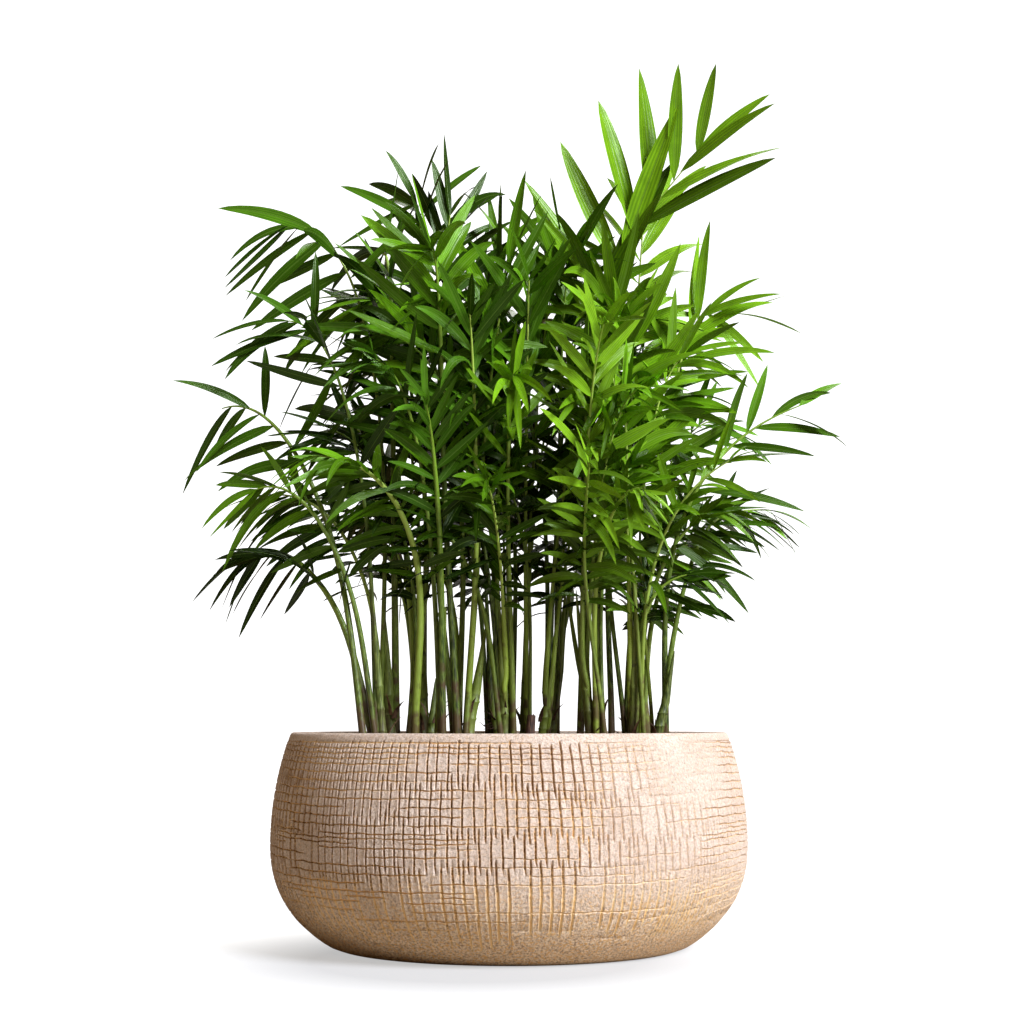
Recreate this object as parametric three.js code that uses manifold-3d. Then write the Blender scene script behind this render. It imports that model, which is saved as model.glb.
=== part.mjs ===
// A parlour palm in a wide, round-bellied bowl. Millimetres, +Z up, the bowl's flat underside on
// Z = 0, the front towards -Y.
// The palm stands in three tufts of thin canes. Each cane carries four feather fronds, kept as
// two pieces of two fronds that share one sheath on top of the cane.
import * as THREE from "three";
import { mergeVertices } from "three/addons/utils/BufferGeometryUtils.js";
import Module from "manifold-3d";

const wasm = await Module();
wasm.setup();

// Driving dimensions: bowl and soil. The wall's curve is given by how sharply it turns in above
// and below the belly.
const SEAT_GAP = 0.3;
const BOWL_HEIGHT = 194.5;
const BOWL_BELLY_RADIUS = 220;
const BOWL_BELLY_HEIGHT = 94.5;
const BOWL_RIM_RADIUS = 202.5;
const BOWL_FOOT_RADIUS = 162;
const BOWL_WALL = 11;
const BOWL_FLOOR = 14;
const BOWL_UPPER_CURVE = 2;
const BOWL_LOWER_CURVE = 2.32;
const BOWL_LOWER_FULLNESS = 0.84;
const BOWL_OUTER_RINGS = [3, 9, 17, 30, 48, 70, 94.5, 122, 148, 171];
const CAVITY_RINGS = [34, 64, 94.5];
const CAVITY_FLOOR_INSET = 18;
const LIP_ROUND = 3;
const BOWL_SIDES = 42;
const SOIL_HEIGHT = 178;

// Driving dimensions: canes, and the tufts they stand in.
const CANE_FOOT_RADIUS = 6.6;
const CANE_RADIUS = 5.4;
const CANE_HEAD_RADIUS = 6.1;
const CANE_FLARE = 7;
const CANE_RING_AT = 0.5;
const CANE_RING_LENGTH = 3;
const CANE_SIDES = 6;
const CANE_LEAN = 9;
const CANE_TOP_LOWEST = 208;
const CANE_TOP_RISE = 52;
const GOLDEN_TURN = 137.5;
const TUFTS_HALF_WIDTH = 150;
const TUFTS_HALF_DEPTH = 80;
const TUFTS = [
  { name: "left", x: -85, y: -6, spread: 48, canes: 6, heading: 34 },
  { name: "middle", x: 8, y: 28, spread: 38, canes: 6, heading: 60 },
  { name: "right", x: 103, y: -6, spread: 40, canes: 7, heading: 20 },
];

// Driving dimensions: fronds. Shares are of the frond's or the leaflet's own length.
const FRONDS_PER_CANE = 4;
const SHEATH_OFFSET = 3.2;
const STALK_FOOT_RADIUS = 2.6;
const STALK_TIP_RADIUS = 0.9;
const STALK_TAPER = 1.3;
const STALK_RUNS = 6;
const STALK_SIDES = 3;
const BLADE_LENGTH = 213;
const BLADE_SHARE_LARGEST = 0.6;
const BLADE_END = 0.985;
const LEAFLET_PAIRS_OUTLINE = 5;
const LEAFLET_PAIRS_FILL = 4;
const LEAFLET_SHARE = 0.27;
const LEAFLET_SHORTEST = 63;
const LEAFLET_LONGEST = 110;
const LEAFLET_SHORTENING = 0.2;
const LEAFLET_LONGEST_AT = 0.4;
const LEAFLET_WIDTH_SHARE = 0.19;
const LEAFLET_THICKNESS_SHARE = 0.012;
const LEAFLET_WIDEST_AT = 0.42;
const LEAFLET_ROOT_DEPTH = 0.4;
const LEAFLET_ANGLE_LOW = 56;
const LEAFLET_ANGLE_HIGH = 15;
const LEAFLET_LIFT = 8;
const LEAFLET_DROOP = 0.2;

// Driving dimensions: the crown's space, and how clear the pieces stay of each other. A frond in
// the way of another is swung and bowed by these steps; a leaflet is opened, tilted or shortened.
const CROWN = { left: -319, right: 334, front: -256, back: 256, top: 848, bottom: 282 };
const PATH_STEP = 2.5;
const PATH_CLEARANCE = 0.5;
const SWING_STEP = 5;
const SWINGS = 9;
const BOW_STEP = 0.12;
const BOWS = 5;
const LEAF_STEP = 3;
const LEAF_CLEARANCE = 4.25;
const LEAF_STALK_CLEARANCE = 3;
const LEAFLET_SIZES = [1, 0.82];
const LEAFLET_TILTS = [0, 12, -12, 24, -24];
const LEAFLET_OPENINGS = [0, 8, -8, 16];
const CELL = 6;

// Fronds that make the crown's outline: cane, rachis end, share of the way out and up of the
// bend, the turn of the blade about the rachis (90 faces front), how far its leaflets hang, and
// their length beside the common one.
const OUTLINE_FRONDS = [
  { cane: "right_7", end: [183, -5, 750], lean: -0.7, rise: 0.65, turn: 90, hang: 0, leaf: 1.4 },
  { cane: "right_6", end: [276, -10, 502], lean: -0.2, rise: 0.8, turn: 75, hang: 0.35, leaf: 1.1 },
  { cane: "right_4", end: [133, 50, 696], lean: 0.4, rise: 0.7, turn: 80, hang: 0.1, leaf: 1 },
  { cane: "right_1", end: [196, 20, 596], lean: 0.5, rise: 1.05, turn: 70, hang: 0.1, leaf: 0.95 },
  { cane: "right_3", end: [202, -60, 442], lean: 0.1, rise: 0.8, turn: 60, hang: 0.15, leaf: 1 },
  { cane: "right_6", end: [214, 20, 401], lean: 0.25, rise: 1, turn: 40, hang: 0.2, leaf: 1 },
  { cane: "right_3", end: [163, -50, 338], lean: 0, rise: 0.9, turn: 30, hang: 0.35, leaf: 1 },
  { cane: "left_5", end: [-272, -10, 499], lean: 0.5, rise: 1.1, turn: 70, hang: 0.35, leaf: 1.1 },
  { cane: "left_2", end: [-212, 0, 680], lean: -0.1, rise: 1, turn: 40, hang: 0.8, leaf: 0.9 },
  { cane: "left_5", end: [-205, -50, 575], lean: 0.25, rise: 1, turn: 60, hang: 0.35, leaf: 1 },
  { cane: "left_5", end: [-233, -50, 417], lean: 0.5, rise: 1.15, turn: 60, hang: 0.3, leaf: 1.1 },
  { cane: "left_5", end: [-250, 10, 363], lean: 0.55, rise: 1.2, turn: 45, hang: 0.4, leaf: 1.15 },
  { cane: "left_1", end: [-57, 10, 692], lean: -0.2, rise: 0.8, turn: 85, hang: 0.05, leaf: 0.9 },
  { cane: "left_4", end: [-92, 40, 710], lean: 0.2, rise: 1.05, turn: 80, hang: 0.2, leaf: 0.9 },
  { cane: "left_2", end: [-127, 30, 645], lean: -0.2, rise: 1.2, turn: 60, hang: 0.3, leaf: 0.9 },
  { cane: "left_6", end: [0, -70, 625], lean: -0.2, rise: 0.6, turn: 80, hang: 0.05, leaf: 1 },
  { cane: "middle_2", end: [-8, 20, 672], lean: 0.3, rise: 0.6, turn: 80, hang: 0.1, leaf: 0.9 },
  { cane: "middle_1", end: [43, 40, 627], lean: 0.3, rise: 0.8, turn: 80, hang: 0.25, leaf: 1 },
  { cane: "right_7", end: [72, -55, 508], lean: 0, rise: 1.1, turn: 85, hang: 0, leaf: 1 },
  { cane: "right_1", end: [97, -70, 503], lean: -0.2, rise: 1.3, turn: 70, hang: 0.5, leaf: 1 },
];

// The other fronds fill the crown: their rachis ends wind up through it from wide and low to
// narrow and high in three layers, with more of them to the sides than to front and back.
const FILL = {
  lowest: 386,
  highest: 630,
  centreX: 4,
  wideX: 256,
  narrowX: 127,
  wideY: 196,
  narrowY: 105,
  layers: [1, 0.55, 0.8],
  firstHeading: 20,
  sideways: 0.22,
  heightSpread: 40,
  lean: [0.1, 0.3],
  rise: [0.75, 1.1],
  turnSpread: 60,
  hang: [0.08, 0.4],
  hangReach: 234,
};

// Colours.
const BOWL_COLOUR = 0xcdb39c;
const SOIL_COLOUR = 0x2b1d14;
const CANE_COLOUR = 0x4f6a2c;
const FROND_COLOURS = [0x2c5f17, 0x37721a, 0x244f16, 0x4a8a22, 0x1e4514, 0x6aa02e];

const UP = new THREE.Vector3(0, 0, 1);

function makeRandom(seed) {
  let state = seed;
  return () => {
    state = (state * 16807) % 2147483647;
    return state / 2147483647;
  };
}

function clamp(value, low, high) {
  return Math.min(high, Math.max(low, value));
}

function mix(a, b, share) {
  return a + (b - a) * share;
}

// The geometry as a closed body with shared corners and no other attributes.
function toSolid(geometry) {
  const bare = new THREE.BufferGeometry();
  bare.setAttribute("position", geometry.getAttribute("position"));
  bare.setIndex(geometry.getIndex());
  const merged = mergeVertices(bare, 1e-4);
  const source = merged.getIndex();
  const kept = [];
  for (let i = 0; i < source.count; i += 3) {
    const [a, b, c] = [source.getX(i), source.getX(i + 1), source.getX(i + 2)];
    if (a !== b && b !== c && c !== a) {
      kept.push(a, b, c);
    }
  }
  return new wasm.Manifold(new wasm.Mesh({
    numProp: 3,
    vertProperties: new Float32Array(merged.getAttribute("position").array),
    triVerts: new Uint32Array(kept),
  }));
}

function toGeometry(solid) {
  const mesh = solid.getMesh();
  const geometry = new THREE.BufferGeometry();
  geometry.setAttribute("position", new THREE.BufferAttribute(new Float32Array(mesh.vertProperties), 3));
  geometry.setIndex(new THREE.BufferAttribute(new Uint32Array(mesh.triVerts), 1));
  return geometry;
}

function lathe(profile, sides) {
  const points = profile.map(([radius, height]) => new THREE.Vector2(radius, height));
  const geometry = new THREE.LatheGeometry(points, sides);
  geometry.rotateX(Math.PI / 2);
  return geometry;
}

// Outer wall radius at a height: an oval belly that narrows a little to the rim above and,
// further and faster, to the foot below.
function bowlRadius(height) {
  if (height >= BOWL_BELLY_HEIGHT) {
    const up = (height - BOWL_BELLY_HEIGHT) / (BOWL_HEIGHT - BOWL_BELLY_HEIGHT);
    return mix(BOWL_BELLY_RADIUS, BOWL_RIM_RADIUS, up ** BOWL_UPPER_CURVE);
  }
  const down = (BOWL_BELLY_HEIGHT - height) / BOWL_BELLY_HEIGHT;
  const fullness = (1 - down ** BOWL_LOWER_CURVE) ** BOWL_LOWER_FULLNESS;
  return mix(BOWL_FOOT_RADIUS, BOWL_BELLY_RADIUS, fullness);
}

function cavityRadius(height) {
  return bowlRadius(height) - BOWL_WALL;
}

function bowlProfile() {
  const outer = BOWL_OUTER_RINGS.map((height) => [bowlRadius(height), height]);
  const cavity = CAVITY_RINGS.map((height) => [cavityRadius(height), height]);
  const mouth = BOWL_HEIGHT - LIP_ROUND;
  return [
    [0, 0],
    [BOWL_FOOT_RADIUS, 0],
    ...outer,
    [BOWL_RIM_RADIUS, mouth],
    [BOWL_RIM_RADIUS - LIP_ROUND, BOWL_HEIGHT],
    [cavityRadius(mouth) + LIP_ROUND, BOWL_HEIGHT],
    [cavityRadius(mouth), mouth],
    [cavityRadius(SOIL_HEIGHT), SOIL_HEIGHT],
    ...cavity.reverse(),
    [cavityRadius(BOWL_FLOOR) - CAVITY_FLOOR_INSET, BOWL_FLOOR],
    [0, BOWL_FLOOR],
  ];
}

// The soil fills the cavity with a seat gap all round.
function soilProfile() {
  const bottom = BOWL_FLOOR + SEAT_GAP;
  return [
    [0, bottom],
    [cavityRadius(BOWL_FLOOR) - CAVITY_FLOOR_INSET - SEAT_GAP, bottom],
    ...CAVITY_RINGS.map((height) => [cavityRadius(height) - SEAT_GAP, height]),
    [cavityRadius(SOIL_HEIGHT) - SEAT_GAP, SOIL_HEIGHT],
    [0, SOIL_HEIGHT],
  ];
}

function plantCanes() {
  const random = makeRandom(4711);
  const canes = [];
  for (const tuft of TUFTS) {
    for (let i = 0; i < tuft.canes; i += 1) {
      const heading = THREE.MathUtils.degToRad(GOLDEN_TURN * i + tuft.heading);
      const share = Math.sqrt((i + 0.5) / tuft.canes);
      const out = new THREE.Vector3(Math.cos(heading), Math.sin(heading), 0);
      const foot = new THREE.Vector3(tuft.x, tuft.y, SOIL_HEIGHT + SEAT_GAP);
      foot.addScaledVector(out, tuft.spread * share);
      const top = foot.clone().addScaledVector(out, CANE_LEAN * share);
      top.z = CANE_TOP_LOWEST + CANE_TOP_RISE * random();
      canes.push({ name: `${tuft.name}_${i + 1}`, foot, top, fronds: [] });
    }
  }
  return canes;
}

// A cane: flared foot, leaning shaft with one leaf-scar ring, flat head.
function caneSolid(cane) {
  const height = cane.top.z - cane.foot.z;
  const ring = height * CANE_RING_AT;
  const profile = [
    [0, 0],
    [CANE_FOOT_RADIUS, 0],
    [CANE_RADIUS, CANE_FLARE],
    [CANE_HEAD_RADIUS, ring],
    [CANE_RADIUS, ring + CANE_RING_LENGTH],
    [CANE_HEAD_RADIUS, height],
    [0, height],
  ];
  const geometry = lathe(profile, CANE_SIDES);
  const shift = new THREE.Vector3().subVectors(cane.top, cane.foot);
  const position = geometry.getAttribute("position");
  for (let i = 0; i < position.count; i += 1) {
    const share = position.getZ(i) / height;
    position.setX(i, position.getX(i) + cane.foot.x + shift.x * share);
    position.setY(i, position.getY(i) + cane.foot.y + shift.y * share);
    position.setZ(i, position.getZ(i) + cane.foot.z);
  }
  return toSolid(geometry);
}

function fillFronds(count) {
  const random = makeRandom(2026);
  const fronds = [];
  for (let i = 0; i < count; i += 1) {
    const level = (i + 0.5) / count;
    const winding = THREE.MathUtils.degToRad(GOLDEN_TURN * i + FILL.firstHeading);
    const heading = winding - FILL.sideways * Math.sin(2 * winding);
    const layer = FILL.layers[i % FILL.layers.length];
    const x = FILL.centreX + Math.cos(heading) * layer * mix(FILL.wideX, FILL.narrowX, level);
    const y = Math.sin(heading) * layer * mix(FILL.wideY, FILL.narrowY, level);
    const z = mix(FILL.lowest, FILL.highest, level) + FILL.heightSpread * (0.5 - layer * random());
    fronds.push({
      end: [x, y, z],
      lean: mix(FILL.lean[0], FILL.lean[1], random()),
      rise: mix(FILL.rise[0], FILL.rise[1], random()),
      turn: FILL.turnSpread * (2 * random() - 1),
      hang: mix(FILL.hang[0], FILL.hang[1], Math.min(1, Math.hypot(x, y) / FILL.hangReach)),
      leaf: 1,
      outline: false,
    });
  }
  return fronds;
}

// Each filling frond grows from the free cane that stands most nearly under it.
function dealFronds(canes) {
  const byName = new Map(canes.map((cane) => [cane.name, cane]));
  for (const frond of OUTLINE_FRONDS) {
    byName.get(frond.cane).fronds.push({ ...frond, outline: true });
  }
  const count = canes.length * FRONDS_PER_CANE - OUTLINE_FRONDS.length;
  const fill = fillFronds(count);
  const reach = ({ end }) => Math.hypot(end[0] / FILL.wideX, end[1] / FILL.wideY);
  fill.sort((a, b) => reach(b) - reach(a));
  for (const frond of fill) {
    let nearest = null;
    let least = Infinity;
    for (const cane of canes) {
      const apartX = cane.foot.x / TUFTS_HALF_WIDTH - frond.end[0] / FILL.wideX;
      const apartY = cane.foot.y / TUFTS_HALF_DEPTH - frond.end[1] / FILL.wideY;
      const apart = apartX * apartX + apartY * apartY;
      if (cane.fronds.length < FRONDS_PER_CANE && apart < least) {
        least = apart;
        nearest = cane;
      }
    }
    nearest.fronds.push(frond);
  }
}

// Parts a cane's fronds into two pieces by heading; each piece has its own sheath on the cane.
function splitFronds(cane) {
  const middle = new THREE.Vector2();
  for (const { end } of cane.fronds) {
    middle.add(new THREE.Vector2(end[0], end[1]));
  }
  middle.divideScalar(cane.fronds.length);
  let axis = new THREE.Vector2(1, 0);
  let furthest = 0;
  for (const { end } of cane.fronds) {
    const away = new THREE.Vector2(end[0], end[1]).sub(middle);
    if (away.length() > furthest) {
      furthest = away.length();
      axis = away;
    }
  }
  axis.normalize();
  const along = ({ end }) => end[0] * axis.x + end[1] * axis.y;
  const ordered = [...cane.fronds].sort((a, b) => along(b) - along(a));
  return [ordered.slice(0, 2), ordered.slice(2)].map((fronds, index) => {
    const side = index === 0 ? SHEATH_OFFSET : -SHEATH_OFFSET;
    const foot = cane.top.clone().add(new THREE.Vector3(axis.x * side, axis.y * side, SEAT_GAP));
    return { name: `fronds_${cane.name}_${"ab"[index]}`, cane: cane.name, foot, fronds };
  });
}

// Every frond of every piece, those of the crown's outline first.
function inGrowingOrder(pieces) {
  const all = pieces.flatMap((piece) => piece.fronds.map((frond) => ({ piece, frond })));
  return [...all.filter(({ frond }) => frond.outline), ...all.filter(({ frond }) => !frond.outline)];
}

function stalkRadius(t) {
  return STALK_TIP_RADIUS + (STALK_FOOT_RADIUS - STALK_TIP_RADIUS) * (1 - t) ** STALK_TAPER;
}

// The rachis' way from the sheath to its end, with the end swung about the sheath.
function frondPath(foot, frond, swing, bow) {
  const out = new THREE.Vector3(...frond.end).sub(foot);
  out.applyAxisAngle(UP, THREE.MathUtils.degToRad(swing));
  const end = foot.clone().add(out);
  const lean = frond.lean + bow;
  const bend = new THREE.Vector3(out.x * lean, out.y * lean, out.z * frond.rise).add(foot);
  const curve = new THREE.QuadraticBezierCurve3(foot, bend, end);
  const stations = [];
  for (let i = 0; i <= STALK_RUNS; i += 1) {
    stations.push(curve.getPoint(i / STALK_RUNS));
  }
  return { curve, stations, length: out.length() };
}

// Counts 0, 1, -1, 2, -2 and so on.
function swayed(index) {
  return Math.ceil(index / 2) * (index % 2 === 0 ? -1 : 1);
}

// A place on the straight runs between stations.
function stalkPoint(stations, t) {
  const station = Math.min(Math.floor(t * STALK_RUNS), STALK_RUNS - 1);
  return stations[station].clone().lerp(stations[station + 1], t * STALK_RUNS - station);
}

// Points along the straight runs between stations, with the stalk's radius at each.
function samplePath(stations) {
  const samples = [];
  for (let i = 1; i < stations.length; i += 1) {
    const steps = Math.ceil(stations[i].distanceTo(stations[i - 1]) / PATH_STEP);
    for (let k = 0; k < steps; k += 1) {
      const share = k / steps;
      const point = stations[i - 1].clone().lerp(stations[i], share);
      samples.push({ point, radius: stalkRadius((i - 1 + share) / STALK_RUNS) });
    }
  }
  samples.push({ point: stations[stations.length - 1].clone(), radius: STALK_TIP_RADIUS });
  return samples;
}

function pathsClear(samples, others) {
  const slack = PATH_STEP * PATH_STEP / 2;
  for (const other of others) {
    for (const a of samples) {
      for (const b of other.samples) {
        const near = a.radius + b.radius + PATH_CLEARANCE;
        if (a.point.distanceToSquared(b.point) < near * near + slack) {
          return false;
        }
      }
    }
  }
  return true;
}

// Gives each frond a path clear of the canes and of the paths before it, or none.
function growPaths(pieces, canes) {
  const placed = canes.map((cane) => ({
    owner: cane.name,
    samples: [0, 0.25, 0.5, 0.75, 0.9].map((share) => ({
      point: cane.foot.clone().lerp(cane.top, share),
      radius: CANE_HEAD_RADIUS,
    })),
  }));
  for (const { piece, frond } of inGrowingOrder(pieces)) {
    const others = placed.filter(({ owner }) => owner !== piece.name && owner !== piece.cane);
    for (let attempt = 0; attempt < SWINGS * BOWS && !frond.path; attempt += 1) {
      const swing = SWING_STEP * swayed(attempt % SWINGS);
      const bow = BOW_STEP * swayed(Math.floor(attempt / SWINGS));
      const path = frondPath(piece.foot, frond, swing, bow);
      const samples = samplePath(path.stations);
      if (pathsClear(samples, others)) {
        frond.path = path;
        placed.push({ owner: piece.name, samples });
      }
    }
  }
  return placed;
}

// The blade's directions at a place along the rachis: along it, across it and out of its face.
function bladeFrame(frond, t) {
  const { v0, v1, v2 } = frond.path.curve;
  const along = v1.clone().sub(v0).multiplyScalar(1 - t).addScaledVector(v2.clone().sub(v1), t).normalize();
  const heading = new THREE.Vector3(v2.x - v0.x, v2.y - v0.y, 0).normalize();
  const level = new THREE.Vector3(-heading.y, heading.x, 0);
  const back = along.clone().cross(level);
  const turn = THREE.MathUtils.degToRad(frond.turn);
  const across = level.multiplyScalar(Math.cos(turn)).addScaledVector(back, Math.sin(turn));
  return { along, across, face: along.clone().cross(across) };
}

// Where the leaflets of a frond sit: share of the blade, side and length, end pair first.
function leafletPlan(frond) {
  const longest = frond.leaf * clamp(frond.path.length * LEAFLET_SHARE, LEAFLET_SHORTEST, LEAFLET_LONGEST);
  const pairs = frond.outline ? LEAFLET_PAIRS_OUTLINE : LEAFLET_PAIRS_FILL;
  const plan = [];
  for (let pair = pairs - 1; pair >= 0; pair -= 1) {
    const share = (pair + 0.2) / (pairs - 0.8);
    const length = longest * (1 - LEAFLET_SHORTENING * (2 * (share - LEAFLET_LONGEST_AT)) ** 2);
    plan.push({ share, side: 1, length }, { share, side: -1, length });
  }
  return plan;
}

// A leaflet: root on the rachis, widest place and drooping tip.
function leafletShape(frond, plan, opening, tilt, size) {
  const { stations, length: reach } = frond.path;
  const bladeStart = 1 - Math.min(BLADE_SHARE_LARGEST, BLADE_LENGTH / reach);
  const t = mix(bladeStart, BLADE_END, plan.share);
  const { along, across, face } = bladeFrame(frond, t);
  const angle = mix(LEAFLET_ANGLE_LOW, LEAFLET_ANGLE_HIGH, plan.share) + opening;
  const radians = THREE.MathUtils.degToRad(angle);
  const lift = Math.tan(THREE.MathUtils.degToRad(LEAFLET_LIFT + tilt));
  const direction = along.clone().multiplyScalar(Math.cos(radians));
  direction.addScaledVector(across, plan.side * Math.sin(radians)).addScaledVector(face, lift);
  direction.z -= frond.hang;
  direction.normalize();
  const length = plan.length * size;
  const droop = LEAFLET_DROOP * length * Math.hypot(direction.x, direction.y);
  const onStalk = stalkPoint(stations, t);
  const middle = onStalk.clone().addScaledVector(direction, LEAFLET_WIDEST_AT * length);
  middle.z -= droop * LEAFLET_WIDEST_AT ** 2;
  const tip = onStalk.clone().addScaledVector(direction, length);
  tip.z -= droop;
  const root = onStalk.clone().addScaledVector(direction, -LEAFLET_ROOT_DEPTH);
  const width = direction.clone().cross(face).normalize().multiplyScalar(length * LEAFLET_WIDTH_SHARE / 2);
  const up = direction.clone().cross(width).normalize();
  up.multiplyScalar(length * LEAFLET_THICKNESS_SHARE / 2);
  return { root, middle, tip, width, up, length };
}

function leafletSamples(leaf) {
  const samples = [];
  const steps = Math.ceil(leaf.length / LEAF_STEP);
  for (let i = 0; i <= steps; i += 1) {
    const share = i / steps;
    const lower = share < LEAFLET_WIDEST_AT;
    const near = lower ? share / LEAFLET_WIDEST_AT : (1 - share) / (1 - LEAFLET_WIDEST_AT);
    const centre = (lower ? leaf.root : leaf.tip).clone().lerp(leaf.middle, near);
    const rows = Math.ceil(2 * leaf.width.length() * near / LEAF_STEP);
    for (let k = 0; k <= rows; k += 1) {
      const side = rows === 0 ? 0 : 2 * k / rows - 1;
      samples.push(centre.clone().addScaledVector(leaf.width, side * near));
    }
  }
  return samples;
}

// Points already taken, in a grid of cells, each with its piece and the room it needs.
const taken = new Map();

function cellKey(x, y, z) {
  return (x + 200) * 1e6 + (y + 200) * 1e3 + (z + 200);
}

function take(point, owner, room) {
  const key = cellKey(Math.floor(point.x / CELL), Math.floor(point.y / CELL), Math.floor(point.z / CELL));
  if (!taken.has(key)) {
    taken.set(key, []);
  }
  taken.get(key).push({ point, owner, room });
}

function isFree(point, owner) {
  const [cx, cy, cz] = [point.x, point.y, point.z].map((value) => Math.floor(value / CELL));
  for (let x = cx - 1; x <= cx + 1; x += 1) {
    for (let y = cy - 1; y <= cy + 1; y += 1) {
      for (let z = cz - 1; z <= cz + 1; z += 1) {
        for (const other of taken.get(cellKey(x, y, z)) ?? []) {
          if (other.owner !== owner && other.point.distanceToSquared(point) < other.room * other.room) {
            return false;
          }
        }
      }
    }
  }
  return true;
}

function insideCrown({ x, y, z }) {
  const across = x > CROWN.left && x < CROWN.right;
  const deep = y > CROWN.front && y < CROWN.back;
  return across && deep && z > CROWN.bottom && z < CROWN.top;
}

// Tries a leaflet as planned, then opened or tilted a little, then shorter.
function growLeaflet(piece, frond, plan) {
  for (const size of LEAFLET_SIZES) {
    for (const tilt of LEAFLET_TILTS) {
      for (const opening of LEAFLET_OPENINGS) {
        const leaf = leafletShape(frond, plan, opening, tilt, size);
        if (insideCrown(leaf.tip)) {
          const samples = leafletSamples(leaf);
          if (samples.every((point) => isFree(point, piece.name))) {
            samples.forEach((point) => take(point, piece.name, LEAF_CLEARANCE));
            return leaf;
          }
        }
      }
    }
  }
  return null;
}

function growLeaflets(pieces) {
  for (const { piece, frond } of inGrowingOrder(pieces)) {
    frond.leaves = [];
    if (frond.path) {
      for (const plan of leafletPlan(frond)) {
        const leaf = growLeaflet(piece, frond, plan);
        if (leaf) {
          frond.leaves.push(leaf);
        }
      }
    }
  }
}

function stalkSolid(path) {
  const geometry = new THREE.CylinderGeometry(1, 1, STALK_RUNS, STALK_SIDES, STALK_RUNS);
  const position = geometry.getAttribute("position");
  const { stations } = path;
  const level = new THREE.Vector3().subVectors(stations[STALK_RUNS], stations[0]).cross(UP).normalize();
  for (let i = 0; i < position.count; i += 1) {
    const station = clamp(Math.round(position.getY(i) + STALK_RUNS / 2), 0, STALK_RUNS);
    const before = stations[Math.max(0, station - 1)];
    const after = stations[Math.min(STALK_RUNS, station + 1)];
    const along = station === 0 ? UP : new THREE.Vector3().subVectors(after, before).normalize();
    const face = level.clone().cross(along);
    const radius = stalkRadius(station / STALK_RUNS);
    const point = stations[station].clone();
    point.addScaledVector(level, position.getX(i) * radius);
    point.addScaledVector(face, position.getZ(i) * radius);
    position.setXYZ(i, point.x, point.y, point.z);
  }
  return toSolid(geometry);
}

// A leaflet's body: two long three-sided points, wide and thin, keeled along the underside.
function leafletSolid(leaf) {
  const geometry = lathe([[0, -1], [1, 0], [0, 1]], 3);
  const position = geometry.getAttribute("position");
  for (let i = 0; i < position.count; i += 1) {
    const [x, y, z] = [position.getX(i), position.getY(i), position.getZ(i)];
    const end = z > 0 ? leaf.tip : leaf.root;
    const point = leaf.middle.clone().lerp(end, Math.abs(z));
    point.addScaledVector(leaf.width, x / Math.sin(Math.PI / 3)).addScaledVector(leaf.up, y);
    position.setXYZ(i, point.x, point.y, point.z);
  }
  return toSolid(geometry);
}

function pieceSolid(piece) {
  let solid = null;
  for (const frond of piece.fronds) {
    if (frond.path) {
      const parts = [stalkSolid(frond.path), ...frond.leaves.map(leafletSolid)];
      for (const part of parts) {
        solid = solid ? solid.add(part) : part;
      }
    }
  }
  return solid;
}

const group = new THREE.Group();
group.name = "potted_parlour_palm";

function place(name, solid, colour, roughness) {
  const material = new THREE.MeshStandardMaterial({ color: colour, roughness, metalness: 0 });
  const mesh = new THREE.Mesh(toGeometry(solid), material);
  mesh.name = name;
  group.add(mesh);
}

place("pot", toSolid(lathe(bowlProfile(), BOWL_SIDES)), BOWL_COLOUR, 0.8);
place("potting_soil", toSolid(lathe(soilProfile(), BOWL_SIDES)), SOIL_COLOUR, 0.95);

const canes = plantCanes();
for (const cane of canes) {
  place(`cane_${cane.name}`, caneSolid(cane), CANE_COLOUR, 0.6);
}

dealFronds(canes);
const pieces = canes.flatMap(splitFronds);
for (const { owner, samples } of growPaths(pieces, canes)) {
  samples.forEach(({ point, radius }) => take(point, owner, radius + LEAF_STALK_CLEARANCE));
}
growLeaflets(pieces);
pieces.forEach((piece, index) => {
  place(piece.name, pieceSolid(piece), FROND_COLOURS[index % FROND_COLOURS.length], 0.45);
});

export default group;
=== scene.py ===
import math

import bpy
import numpy as np
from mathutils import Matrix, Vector, noise


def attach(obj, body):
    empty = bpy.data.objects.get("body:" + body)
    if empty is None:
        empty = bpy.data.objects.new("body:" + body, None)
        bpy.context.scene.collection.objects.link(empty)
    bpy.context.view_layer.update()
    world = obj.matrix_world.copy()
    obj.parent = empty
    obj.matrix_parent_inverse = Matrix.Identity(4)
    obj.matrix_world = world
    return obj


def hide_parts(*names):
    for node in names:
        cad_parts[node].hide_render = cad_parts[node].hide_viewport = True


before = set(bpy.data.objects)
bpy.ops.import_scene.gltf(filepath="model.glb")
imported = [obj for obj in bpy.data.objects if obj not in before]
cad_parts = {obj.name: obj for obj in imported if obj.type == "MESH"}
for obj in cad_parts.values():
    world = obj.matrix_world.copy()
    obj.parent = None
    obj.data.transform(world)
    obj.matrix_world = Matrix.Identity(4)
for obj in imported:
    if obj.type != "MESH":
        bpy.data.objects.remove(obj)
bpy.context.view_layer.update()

MM = 0.001


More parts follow.
